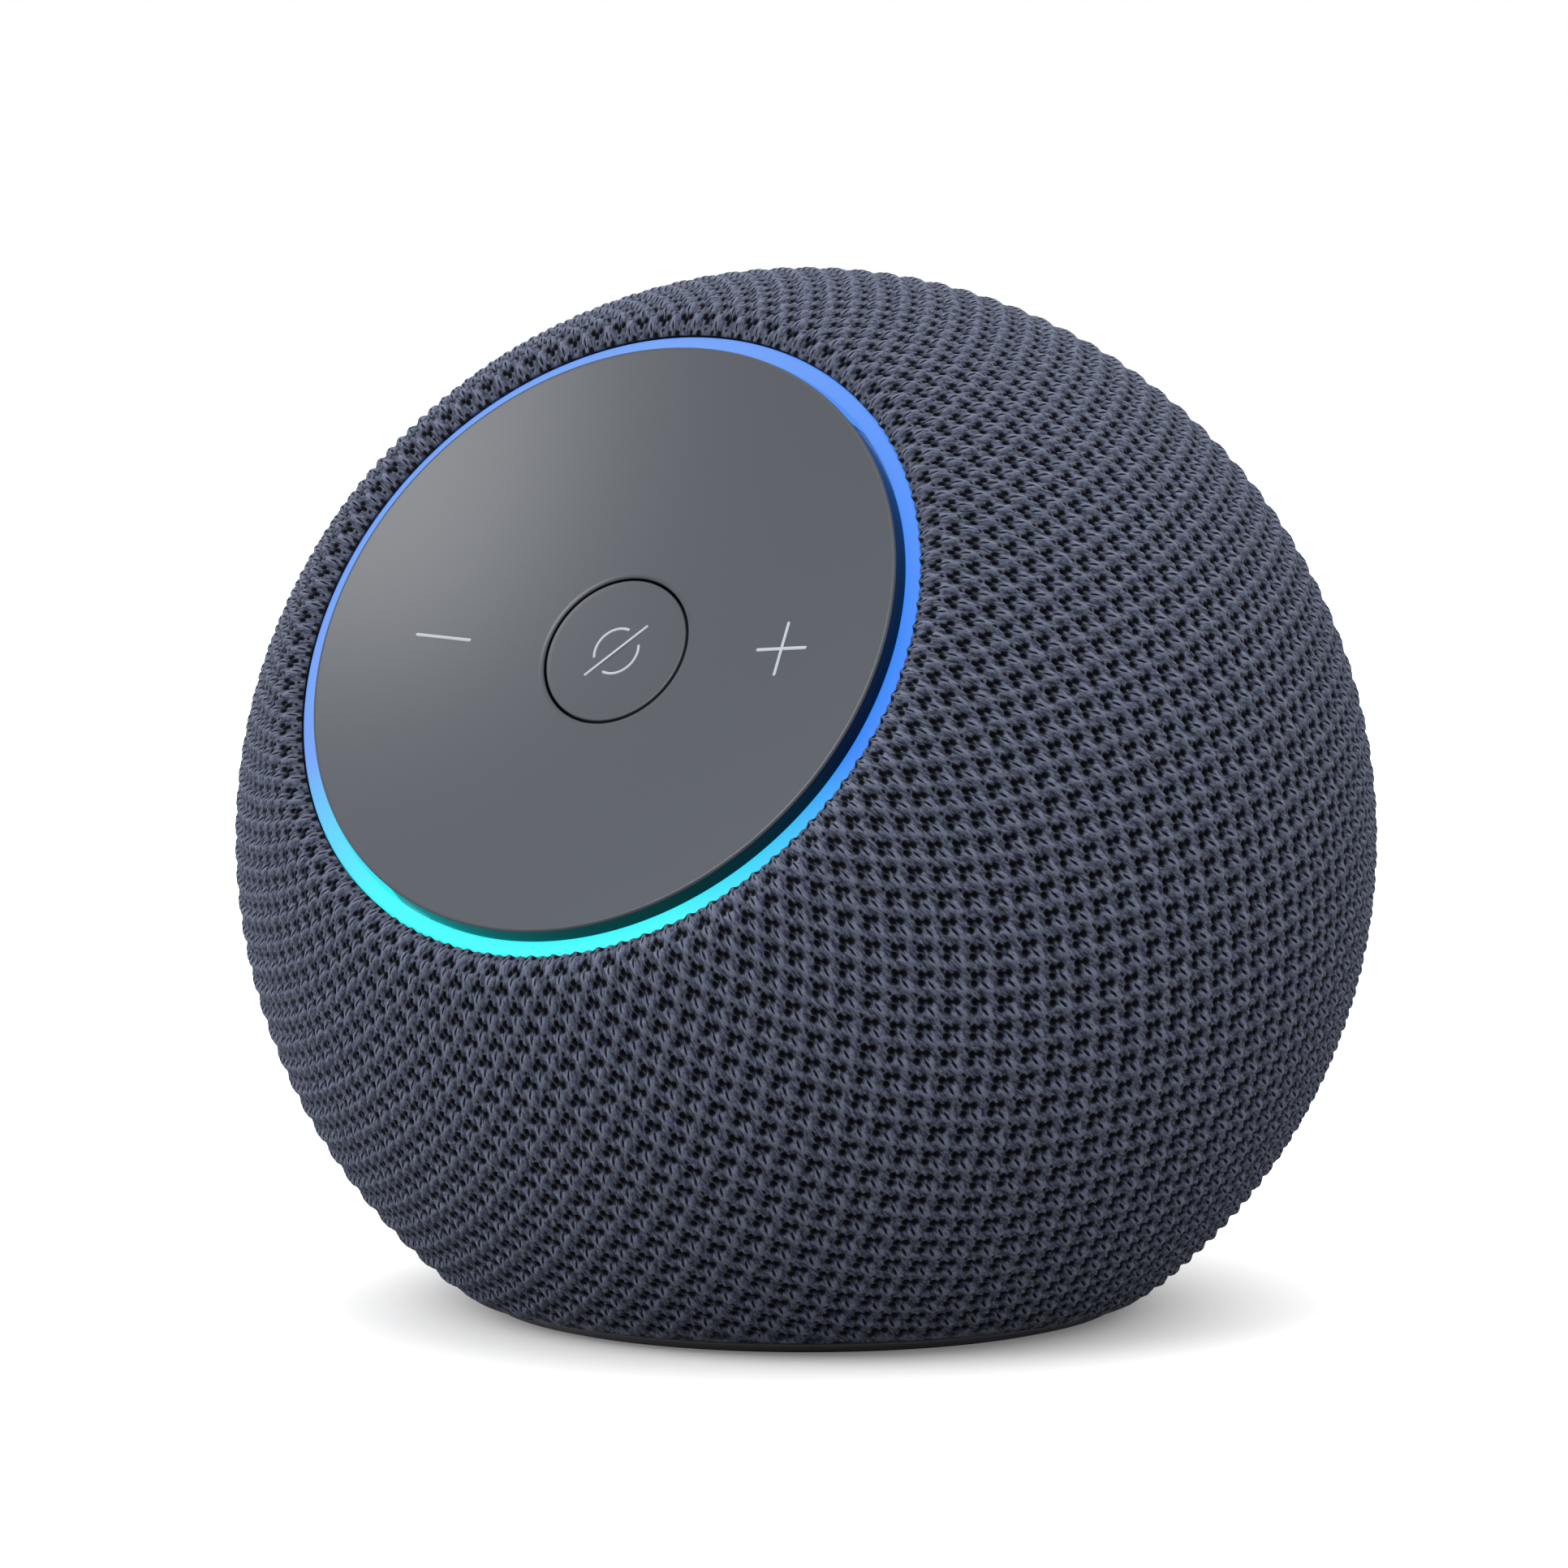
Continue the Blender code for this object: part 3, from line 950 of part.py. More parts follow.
make_fabric_cover()
make_upper_grille()
make_lower_housing()
make_base_plate()
make_foot_pad()
make_inlet()
make_face_plate()
make_mute_button()
make_light_ring()
make_face_carrier()
make_pivot_pins()
make_face_boards()
make_face_cable()
make_face_screws()
make_basket()
make_moving_cone()
make_suspension()
make_motor()
make_enclosure()
back_of_tweeter = make_tweeter()
make_main_board()
make_leads(back_of_tweeter)
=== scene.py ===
import json
from math import cos, pi, radians, sin, sqrt

import bmesh
import bpy
import numpy as np
from mathutils import Matrix, Vector


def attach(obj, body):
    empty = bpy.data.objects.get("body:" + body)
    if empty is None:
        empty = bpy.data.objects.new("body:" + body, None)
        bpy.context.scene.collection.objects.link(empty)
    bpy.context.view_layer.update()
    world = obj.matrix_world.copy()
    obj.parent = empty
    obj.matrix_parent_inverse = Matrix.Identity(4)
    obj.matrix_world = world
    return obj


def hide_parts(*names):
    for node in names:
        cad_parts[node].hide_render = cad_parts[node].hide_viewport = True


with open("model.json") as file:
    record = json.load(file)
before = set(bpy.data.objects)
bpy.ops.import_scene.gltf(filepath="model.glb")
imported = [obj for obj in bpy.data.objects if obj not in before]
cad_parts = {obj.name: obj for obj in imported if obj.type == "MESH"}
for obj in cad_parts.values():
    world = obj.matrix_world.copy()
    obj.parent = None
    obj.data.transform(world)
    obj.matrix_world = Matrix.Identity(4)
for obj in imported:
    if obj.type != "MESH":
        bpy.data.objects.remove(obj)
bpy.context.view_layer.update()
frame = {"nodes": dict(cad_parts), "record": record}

bl_info = {
    "name": "Smart speaker finish",
    "version": (1, 0, 0),
    "blender": (4, 5, 0),
    "location": "View3D > Sidebar > Speaker",
    "description": "Knitted cover, glowing ring, touch plate and finishes of a ball-shaped smart speaker",
    "category": "Add Mesh",
}

MM = 0.001
SHARP_ANGLE = radians(50)

# Sizes in millimetres. The ball stands on z 0. Its tilted face has the axes u, v and n, and heights on the face
# are counted along n from the ball's centre.
BALL_RADIUS = 54.35
BALL_CENTRE = np.array([0, 0, 44.837])
FACE_U = np.array([1, 0, 0])
FACE_V = np.array([0, 0.5, sqrt(0.75)])
FACE_N = np.array([0, -sqrt(0.75), 0.5])
OPENING_RADIUS = 31.6
LIP_RADIUS = 3.0
LIP_CENTRE = (33.15, 39.216)
LIP_START = radians(-31.1)
LIP_END = radians(40.2)
CLOTH_THICKNESS = 1.1
CUT_HEIGHT = 1.5
HEM_CENTRE = (31.95, 2.05)
HEM_REACH = (0.8, 0.5)
RING_TOP = 41.585
RING_DEPTH = 5.2
RIM_HEIGHT = 43.085
PLATE_RADIUS = 29.7
DISH_DEPTH = 3.7
PLATE_THICKNESS = 1.6
PLATE_SKIRT = 2.5
SKIRT_THICKNESS = 1.2
BUTTON_RADIUS = 7.15
BUTTON_HOLE = 7.4
BUTTON_DEPTH = 2.4
MARK_WIDTH = 0.34
ICON_WIDTH = 0.27
ICON_RADIUS = 2.28
BASE_RADIUS = 31.4
BASE_INNER_RADIUS = 30.29
BASE_TOP = 4.0
BASE_LEDGE = 1.2
BASE_BOTTOM = 0.3
FOOT_HOLE = 29.5
FOOT_RADIUS = 29.2
FOOT_THICKNESS = 0.9
GROOVE_RADII = (10.0, 18.0, 26.0)
GROOVE_HALF_WIDTH = 0.8
GROOVE_DEPTH = 0.35
INLET_HEIGHT = 15.0
INLET_HOLE = 7.3
RECESS_FLOOR = 37.93
BEZEL_INNER = 4.2
BEZEL_WALL = 6.0
BEZEL_RADIUS = 7.0
BARREL_RADIUS = 3.9
BARREL_BORE = 2.9
BARREL_DEPTH = 9.0
PIN_RADIUS = 0.95

# Knit grid: columns of points in one stitch, and rows of points in one course. The sectors keep each piece's
# triangle count down.
STITCH_COLUMNS = 16
COURSE_ROWS = 6
SECTORS = (
    "upper_right",
    "back_right",
    "back_left",
    "upper_left",
    "lower_left",
    "front_left",
    "front_right",
    "lower_right",
)

# One stitch. Heights and depths are in mm, and the other sizes are in stitches across and courses along.
DIP_DEPTH, DIP_ACROSS, DIP_ALONG = 0.34, 0.22, 0.32
LEAF_HEIGHT, LEAF_START, LEAF_LENGTH = 0.30, 0.28, 0.97
LEAF_HALF_WIDTH, LEAF_TAPER = 0.27, 0.14
SEAM_DEPTH, SEAM_REACH = 0.16, 0.05
STRAND_HEIGHT, STRAND_ACROSS, STRAND_ALONG = 0.22, 0.05, 0.36
STRAND_SPREAD, STRAND_MEET, STRAND_RUN = 0.13, 0.25, 0.55
# Its openings as centre (across, along), radii (across, along) and depth.
OPENINGS = (
    (0.0, -0.20, 0.10, 0.21, 0.30),
    (0.17, 0.10, 0.09, 0.19, 0.30),
    (0.0, 0.52, 0.035, 0.20, 0.12),
    (0.0, -0.70, 0.06, 0.11, 0.12),
)

# Where the knit changes: courses that its first edge takes, the angle from the face's axis past which rows are
# drawn to the inlet, the stitch width under which relief fades, and the distances over which it fades.
EDGE_COURSES = 0.35
DRAWN_FROM = radians(145)
FULL_STITCH = 2.2
CUT_FADE = 1.5
INLET_FADE = 1.2
ROLL_ROWS, WALL_ROWS = 6, 4


def linear(code):
    """Linear RGBA of an sRGB hex code."""
    parts = [int(code[i : i + 2], 16) / 255 for i in (1, 3, 5)]
    return [c / 12.92 if c <= 0.04045 else ((c + 0.055) / 1.055) ** 2.4 for c in parts] + [1.0]


# ---- meshes ------------------------------------------------------------------------------------


def in_frame(points, origin, axes):
    """Points given along three axes from an origin, in the row frame."""
    return np.asarray(origin) + points @ np.array(axes, float)


def on_face(points):
    """Points given along u, v and n from the ball's centre."""
    return in_frame(points, BALL_CENTRE, (FACE_U, FACE_V, FACE_N))


def at_inlet(points):
    """Points given from the inlet's axis, with the third number running back and out of the ball."""
    return in_frame(points, (0, 0, INLET_HEIGHT), ((-1, 0, 0), (0, 0, 1), (0, 1, 0)))


def skin(name, points, finishes, uv=None, fields=None, keep=None, normals=None, bands=None):
    """The surface over a grid of points (rows, columns, 3) in millimetres, facing away from the ball's centre
    or out of the solid it closes. Grid edges that meet are welded, which closes seams and poles.
    bands gives each row of faces its place in finishes."""
    rows, columns = points.shape[:2]
    at = np.arange(rows * columns).reshape(rows, columns)
    quads = np.stack([at[:-1, :-1], at[:-1, 1:], at[1:, 1:], at[1:, :-1]], axis=-1)
    band = np.zeros(quads.shape[:2], int) + (0 if bands is None else np.asarray(bands)[:, None])
    if keep is None:
        keep = np.ones(quads.shape[:2], bool)
    quads, band = quads[keep], band[keep]
    flat = points.reshape(-1, 3)
    corners = (flat - BALL_CENTRE)[quads]
    across = np.cross(corners[:, 2] - corners[:, 0], corners[:, 3] - corners[:, 1])
    if (corners[:, 0] * across).sum() < 0:
        quads = quads[:, ::-1]
    used, index = np.unique(quads, return_inverse=True)
    index = index.reshape(-1)

    mesh = bpy.data.meshes.new(name)
    mesh.vertices.add(len(used))
    mesh.vertices.foreach_set("co", (flat[used] * MM).astype(np.float32).ravel())
    mesh.loops.add(len(index))
    mesh.loops.foreach_set("vertex_index", index.astype(np.int32))
    mesh.polygons.add(len(quads))
    mesh.polygons.foreach_set("loop_start", np.arange(0, len(index), 4, dtype=np.int32))
    mesh.polygons.foreach_set("material_index", band.astype(np.int32))
    mesh.update(calc_edges=True)
    for material in finishes:
        mesh.materials.append(material)
    if uv is not None:
        layer = mesh.uv_layers.new(name="surface")
        layer.uv.foreach_set("vector", uv.reshape(-1, 2)[used][index].astype(np.float32).ravel())
    for key, values in (fields or {}).items():
        held = mesh.attributes.new(key, "FLOAT", "POINT")
        held.data.foreach_set("value", values.ravel()[used].astype(np.float32))
    mesh.shade_smooth()
    if normals is not None:
        mesh.normals_split_custom_set_from_vertices(normals.reshape(-1, 3)[used].tolist())
    else:
        whole = bmesh.new()
        whole.from_mesh(mesh)
        bmesh.ops.remove_doubles(whole, verts=whole.verts, dist=1e-6)
        whole.to_mesh(mesh)
        whole.free()
        mesh.set_sharp_from_angle(angle=SHARP_ANGLE)
    made = bpy.data.objects.new(name, mesh)
    bpy.context.scene.collection.objects.link(made)
    return made


def turned(name, profile, place, finishes, steps=180, closed=True, bands=None):
    """A profile of (radius, height) swept round the third axis of place. A closed profile makes a ring, and
    one that starts and ends on the axis makes a solid. Its UV runs round once, and along the profile in mm."""
    profile = np.array(profile, float)
    if closed:
        profile = np.concatenate([profile, profile[:1]])
    angle = np.linspace(0, 2 * pi, steps + 1)
    radius, height = profile[:, 0, None], profile[:, 1, None]
    points = np.stack([radius * np.cos(angle), radius * np.sin(angle), height + 0 * angle], axis=-1)
    points[:, -1] = points[:, 0]
    length = np.concatenate([[0], np.cumsum(np.hypot(*np.diff(profile, axis=0).T))])
    uv = np.stack(np.broadcast_arrays(angle / (2 * pi), length[:, None]), axis=-1)
    return skin(name, place(points), finishes, uv, bands=bands)


def rounded(a, b, c, radius, steps=6):
    """Points of the arc that rounds the corner b of the line a, b, c."""
    a, b, c = (np.array(p, float) for p in (a, b, c))
    before, after = (a - b) / np.linalg.norm(a - b), (c - b) / np.linalg.norm(c - b)
    half = np.arccos(np.clip(before @ after, -1, 1)) / 2
    reach = radius / np.tan(half)
    middle = b + (before + after) / np.linalg.norm(before + after) * radius / sin(half)
    first, last = b + before * reach - middle, b + after * reach - middle
    turn = np.arccos(np.clip(first @ last / radius**2, -1, 1))
    return [
        tuple(middle + (first * sin((1 - t) * turn) + last * sin(t * turn)) / sin(turn))
        for t in np.linspace(0, 1, steps)
    ]


def soft_corners(path, radii):
    """A closed profile with each corner rounded by its own radius."""
    corners = zip(path[-1:] + path[:-1], path, path[1:] + path[:1], radii)
    return [point for before, corner, after, radius in corners for point in rounded(before, corner, after, radius)]


def dish(radius):
    """Height of the face's concave surface over the ball's centre: a parabola, DISH_DEPTH deep."""
    return RIM_HEIGHT - DISH_DEPTH * (1 - (radius / PLATE_RADIUS) ** 2)


def stroke(name, lines, width, finish, rise=0.06):
    """Printed lines on the dish: each line of (u, v) points is swept by a flat oval, half sunk in the surface,
    that narrows as a half circle at both ends and stands out by rise. The lines of one mark become one piece."""
    turn = np.linspace(0, 2 * pi, 13)
    made = []
    for line in lines:
        step = np.gradient(line, axis=0)
        step /= np.linalg.norm(step, axis=1)[:, None]
        side = np.stack([-step[:, 1], step[:, 0]], axis=-1)
        run = np.concatenate([[0], np.cumsum(np.linalg.norm(np.diff(line, axis=0), axis=1))])
        near = np.clip(np.minimum(run, run[-1] - run) / (width / 2), 0, 1)
        half = (width / 2 * np.sqrt(1 - (1 - near) ** 2))[:, None]
        flat = line[:, None] + side[:, None] * (half * np.cos(turn))[..., None]
        height = dish(np.hypot(*np.moveaxis(flat, -1, 0))) + rise * np.sin(turn) * (half > 0)
        points = on_face(np.concatenate([flat, height[..., None]], axis=-1))
        made.append(skin(name, points, [finish]))
    if len(made) > 1:
        with bpy.context.temp_override(active_object=made[0], selected_editable_objects=made):
            bpy.ops.object.join()
    return made[0]


def rounded_end(width):
    """Distances from the end of a line, set close together where its half circle turns fastest."""
    return width / 2 * (1 - np.cos(np.linspace(0, pi / 2, 6)))


def straight(a, b, width):
    """Points of a straight line from a to b."""
    a, b = np.array(a, float), np.array(b, float)
    length = np.linalg.norm(b - a)
    end = rounded_end(width)
    run = np.concatenate([end, length - end[::-1]]) / length
    return a + (b - a) * run[:, None]


def bow(radius, start, end, width):
    """Points of an arc about the middle of the face, from start to end in degrees."""
    length = radius * radians(end - start)
    tip = rounded_end(width)
    middle = np.linspace(width / 2, length - width / 2, 40)[1:-1]
    angle = radians(start) + np.concatenate([tip, middle, length - tip[::-1]]) / radius
    return np.stack([radius * np.cos(angle), radius * np.sin(angle)], axis=-1)


# ---- knitted cover -----------------------------------------------------------------------------


def stitches(across, along):
    """(height in mm, opening) of the knit at a place in stitches and courses. Every second course is set over
    by half a stitch. A stitch is a smooth bell-shaped dip crossed by two thin strands that meet in a V, with
    elliptic openings between them, and past it a raised leaf: a parabola across, whose width narrows evenly and
    whose height follows a sine along it, with a narrow seam at its edge. opening is 1 at the middle of an opening,
    0 at its outline and less outside."""
    height = np.zeros_like(across)
    opening = np.full_like(across, -1.0)
    for shift in (-1, 0, 1):
        course = np.round(along) + shift
        x = np.abs((across - 0.5 * (course % 2) + 0.5) % 1 - 0.5)
        y = along - course
        height -= DIP_DEPTH * np.exp(-((x / DIP_ACROSS) ** 2) - ((y + 0.03) / DIP_ALONG) ** 2)
        t = np.clip((y - LEAF_START) / LEAF_LENGTH, 0, 1)
        half_width = LEAF_HALF_WIDTH - LEAF_TAPER * t
        height += LEAF_HEIGHT * np.clip(1 - (x / half_width) ** 2, 0, 1) * np.sin(pi * t) ** 0.7
        height -= SEAM_DEPTH * np.exp(-(((x - half_width) / SEAM_REACH) ** 2)) * np.sin(pi * t)
        strand = np.abs(x - STRAND_SPREAD * np.clip((STRAND_MEET - y) / STRAND_RUN, 0, 1))
        ridge = STRAND_HEIGHT * np.exp(-((strand / STRAND_ACROSS) ** 2))
        height += ridge * np.exp(-(((y + 0.08) / STRAND_ALONG) ** 4))
        for middle_x, middle_y, reach_x, reach_y, depth in OPENINGS:
            inside = 1 - ((x - middle_x) / reach_x) ** 2 - ((y - middle_y) / reach_y) ** 2
            opening = np.maximum(opening, inside)
            height -= depth * np.clip(inside + 0.3, 0, 1)
    return height, opening


def round_face(angle, radius, rise):
    """Rows of points round the face's axis, each row at its own radius and height."""
    level = np.outer(rise, 1 + 0 * angle)
    parts = np.outer(radius, np.cos(angle)), np.outer(radius, np.sin(angle)), level
    return np.stack(parts, axis=-1) @ np.array([FACE_U, FACE_V, FACE_N])


def smooth_cover(angle, course_pitch):
    """(points, outward directions, run, radius) of the cover before it is knitted, from the ball's centre. The
    profile runs from the rolled edge at the ring, over the lip's circle, and down the ball's great circles. Its
    last part is drawn sideways by a smoothstep share and set back on the ball, so that it ends on the inlet's
    round hole, which holds the far pole. run is each row's distance along the profile."""
    lip = LIP_RADIUS * (LIP_END - LIP_START)
    last = pi - np.arcsin(INLET_HOLE / BALL_RADIUS)
    total = lip + BALL_RADIUS * (last - LIP_END)
    run = np.linspace(0, total, int(total / course_pitch * COURSE_ROWS))
    roll = LIP_START + run / LIP_RADIUS
    polar = LIP_END + (run - lip) / BALL_RADIUS
    slope = np.where(run < lip, roll, polar)
    radius = np.where(run < lip, LIP_CENTRE[0] + LIP_RADIUS * np.sin(roll), BALL_RADIUS * np.sin(polar))
    rise = np.where(run < lip, LIP_CENTRE[1] + LIP_RADIUS * np.cos(roll), BALL_RADIUS * np.cos(polar))
    points = round_face(angle, radius, rise)
    outward = round_face(angle, np.sin(slope), np.cos(slope))

    hole_height = INLET_HEIGHT - BALL_CENTRE[2] + INLET_HOLE * np.sin(angle)
    hole = np.stack([INLET_HOLE * np.cos(angle), 0 * angle, hole_height], axis=-1)
    hole[:, 1] = np.sqrt(BALL_RADIUS**2 - (hole**2).sum(axis=1))
    share = np.clip((polar - DRAWN_FROM) / (last - DRAWN_FROM), 0, 1)
    share = (share * share * (3 - 2 * share))[:, None, None]
    drawn = points + share * (hole - points[-1])
    drawn *= BALL_RADIUS / np.linalg.norm(drawn, axis=-1, keepdims=True)
    points = np.where(share > 0, drawn, points)
    outward = np.where(share > 0, points / BALL_RADIUS, outward)
    return points, outward, run, radius


def grid_normals(points):
    """Outward normals of a grid that closes on itself round the ball: the cross product of the steps to the
    neighbours on both sides."""
    round_step = np.roll(points[:, :-1], -1, axis=1) - np.roll(points[:, :-1], 1, axis=1)
    round_step = np.concatenate([round_step, round_step[:, :1]], axis=1)
    normals = np.cross(round_step, np.gradient(points, axis=0))
    normals /= np.maximum(np.linalg.norm(normals, axis=-1, keepdims=True), 1e-9)
    return -normals if (normals * (points - BALL_CENTRE)).sum() < 0 else normals


def cover_points(stitch_count, course_pitch, relief):
    """(points, uv, fields, normals, keep) of the knit's grid: the smooth cover, with each point moved along the
    surface normal by the knit's height. The relief fades where stitches get narrow, at the cut and at the inlet.
    Points below the cut are set on the cut's circle, and keep is false for the faces that lie there."""
    columns = stitch_count * STITCH_COLUMNS
    angle = np.linspace(0, 2 * pi, columns + 1)
    across = np.linspace(0, stitch_count, columns + 1)
    points, outward, run, radius = smooth_cover(angle, course_pitch)

    along = run / course_pitch
    height, opening = stitches(*np.broadcast_arrays(across, along[:, None]))
    edge = np.exp(-((along[:, None] / EDGE_COURSES) ** 2))
    scallop = 0.10 * np.cos(4 * pi * across) + 0.05 * np.cos(2 * pi * across)
    height = height * (1 - edge) + edge * scallop
    above_cut = points[..., 2] + BALL_CENTRE[2] - CUT_HEIGHT
    fade = np.clip(2 * pi * radius / stitch_count / FULL_STITCH, 0, 1)[:, None]
    fade = fade * np.clip(above_cut / CUT_FADE, 0.2, 1) * np.clip((run[-1] - run) / INLET_FADE, 0, 1)[:, None]
    opening = np.where(fade > 0.5, opening, np.minimum(opening, -0.3))
    points = points + outward * (relief * height * fade)[..., None]

    # Both open edges turn in under the cloth: a flattened half circle at the ring, and a straight wall at the inlet.
    turn = np.linspace(pi, 0, ROLL_ROWS + 1)[:-1, None, None]
    back = round_face(angle, np.array([-cos(LIP_START)]), np.array([sin(LIP_START)]))
    start = points[0] - outward[0] * CLOTH_THICKNESS / 2 * (1 - np.cos(turn)) + back * 0.03 * np.sin(turn)
    end = points[-1] - outward[-1] * np.linspace(0.15, 1.0, WALL_ROWS)[:, None, None]
    points = np.concatenate([start, points, end]) + BALL_CENTRE
    before, after = np.linspace(-0.5, 0, ROLL_ROWS + 1)[:-1], along[-1] + np.linspace(0.1, 0.6, WALL_ROWS)
    along = np.concatenate([before, along, after])
    height, opening = (np.pad(a, ((ROLL_ROWS, WALL_ROWS), (0, 0)), "edge") for a in (height, opening))

    below = points[..., 2] < CUT_HEIGHT
    keep = ~(below[:-1, :-1] & below[:-1, 1:] & below[1:, :-1] & below[1:, 1:])
    cut_radius = sqrt(BALL_RADIUS**2 - (BALL_CENTRE[2] - CUT_HEIGHT) ** 2)
    plan = points[..., :2] / np.linalg.norm(points[..., :2], axis=-1, keepdims=True) * cut_radius
    points[below] = np.concatenate([plan, np.full(below.shape + (1,), CUT_HEIGHT)], axis=-1)[below]

    uv = np.stack(np.broadcast_arrays(across, along[:, None]), axis=-1)
    return points, uv, {"crown": height, "opening": opening}, grid_normals(points), keep


# ---- materials ---------------------------------------------------------------------------------


def add(tree, kind, sockets=(), **settings):
    """Adds one node. settings are its properties. sockets maps its inputs to a value or to another node's output."""
    made = tree.nodes.new(kind)
    for key, value in settings.items():
        setattr(made, key, value)
    for key, value in dict(sockets).items():
        if isinstance(value, bpy.types.NodeSocket):
            tree.links.new(value, made.inputs[key])
        else:
            made.inputs[key].default_value = value
    return made


def ramp(tree, source, stops):
    """A colour ramp over source, with stops of (place, linear colour)."""
    made = add(tree, "ShaderNodeValToRGB", {"Fac": source})
    while len(made.color_ramp.elements) < len(stops):
        made.color_ramp.elements.new(0.5)
    for element, (place, colour) in zip(made.color_ramp.elements, stops):
        element.position, element.color = place, colour
    return made.outputs["Color"]


def new_finish(name, **sockets):
    """(material, tree, shader) with the shader's own sockets set."""
    material = bpy.data.materials.new(name)
    material.use_nodes = True
    shader = material.node_tree.nodes["Principled BSDF"]
    for key, value in sockets.items():
        shader.inputs[key.replace("_", " ")].default_value = value
    return material, material.node_tree, shader


def grained(name, grain, depth, **sockets):
    """A plain finish with a fine surface grain: size and depth in millimetres. Grain under 0.2 mm would not
    show at viewing size, so it is drawn at 0.2 mm."""
    material, tree, shader = new_finish(name, **sockets)
    place = add(tree, "ShaderNodeTexCoord").outputs["Object"]
    noise = add(tree, "ShaderNodeTexNoise", {"Vector": place, "Scale": 1000 / max(grain, 0.2), "Detail": 2.0})
    bump = add(tree, "ShaderNodeBump", {"Height": noise.outputs["Fac"], "Distance": depth / 1000, "Strength": 0.5})
    tree.links.new(bump.outputs["Normal"], shader.inputs["Normal"])
    return material


def knit_finish(yarn, light, deep):
    """Knitted polyester yarn: matt, with fine fibres along the wales. Crowns are paler and dips darker by their
    height, a painted highlight and painted shade, and the openings' near-black is painted shade.
    """
    material, tree, shader = new_finish(
        "knitted polyester yarn", Roughness=0.95, Specular_IOR_Level=0.12, Sheen_Weight=0.03, Sheen_Roughness=0.5
    )
    surface = add(tree, "ShaderNodeUVMap", uv_map="surface").outputs["UV"]
    # Fourteen fibres to a stitch: finer ones would not show.
    fibre_place = add(tree, "ShaderNodeMapping", {"Vector": surface, "Scale": (14.0, 2.4, 1.0)}).outputs["Vector"]
    fibre = add(
        tree, "ShaderNodeTexNoise", {"Vector": fibre_place, "Scale": 1.0, "Detail": 3.0, "Roughness": 0.65}
    ).outputs["Fac"]
    crown = add(tree, "ShaderNodeAttribute", attribute_name="crown").outputs["Fac"]
    opening = add(tree, "ShaderNodeAttribute", attribute_name="opening").outputs["Fac"]
    # Crowns drawn toward the pale colour and dips kept dark by their height: painted highlight and painted shade.
    # The fibre streaks are the yarn's own mottle.
    lift = add(tree, "ShaderNodeMapRange", {"Value": crown, "From Min": -0.28, "From Max": 0.22}).outputs["Result"]
    streak = add(tree, "ShaderNodeMath", {0: fibre, 1: 2.6, 2: -1.25}, operation="MULTIPLY_ADD").outputs["Value"]
    blend = add(tree, "ShaderNodeMath", {0: lift, 1: 0.75, 2: streak}, operation="MULTIPLY_ADD").outputs["Value"]
    tint = ramp(tree, blend, ((0.1, yarn), (0.9, light)))
    # Openings pulled toward the near-black openings colour: painted shade, standing for the shaded space behind the
    # cloth, since the openings are only dips.
    shade = add(
        tree,
        "ShaderNodeMapRange",
        {"Value": opening, "From Min": -0.7, "From Max": 0.2},
        interpolation_type="SMOOTHSTEP",
    ).outputs["Result"]
    mixed = add(tree, "ShaderNodeMix", {0: shade, 6: tint, 7: deep}, data_type="RGBA")
    tree.links.new(mixed.outputs[2], shader.inputs["Base Color"])
    bump = add(tree, "ShaderNodeBump", {"Height": fibre, "Distance": 0.00035, "Strength": 0.9})
    tree.links.new(bump.outputs["Normal"], shader.inputs["Normal"])
    return material


def glow_finish(front, side, top, strength):
    """Frosted diffuser lit from below: an even glow whose colour changes softly round the ring."""
    material, tree, shader = new_finish(
        "frosted polycarbonate diffuser", Base_Color=linear("#08080A"), Roughness=0.6, Emission_Strength=strength
    )
    surface = add(tree, "ShaderNodeUVMap", uv_map="surface").outputs["UV"]
    turns = add(tree, "ShaderNodeSeparateXYZ", {"Vector": surface}).outputs["X"]
    # Places are shares of a turn from the right side, by way of the top.
    stops = (
        (0.0, side),
        (0.27, top),
        (0.5, top),
        (0.57, top),
        (0.665, front),
        (0.83, front),
        (0.945, side),
        (1.0, side),
    )
    tree.links.new(ramp(tree, turns, stops), shader.inputs["Emission Color"])
    return material


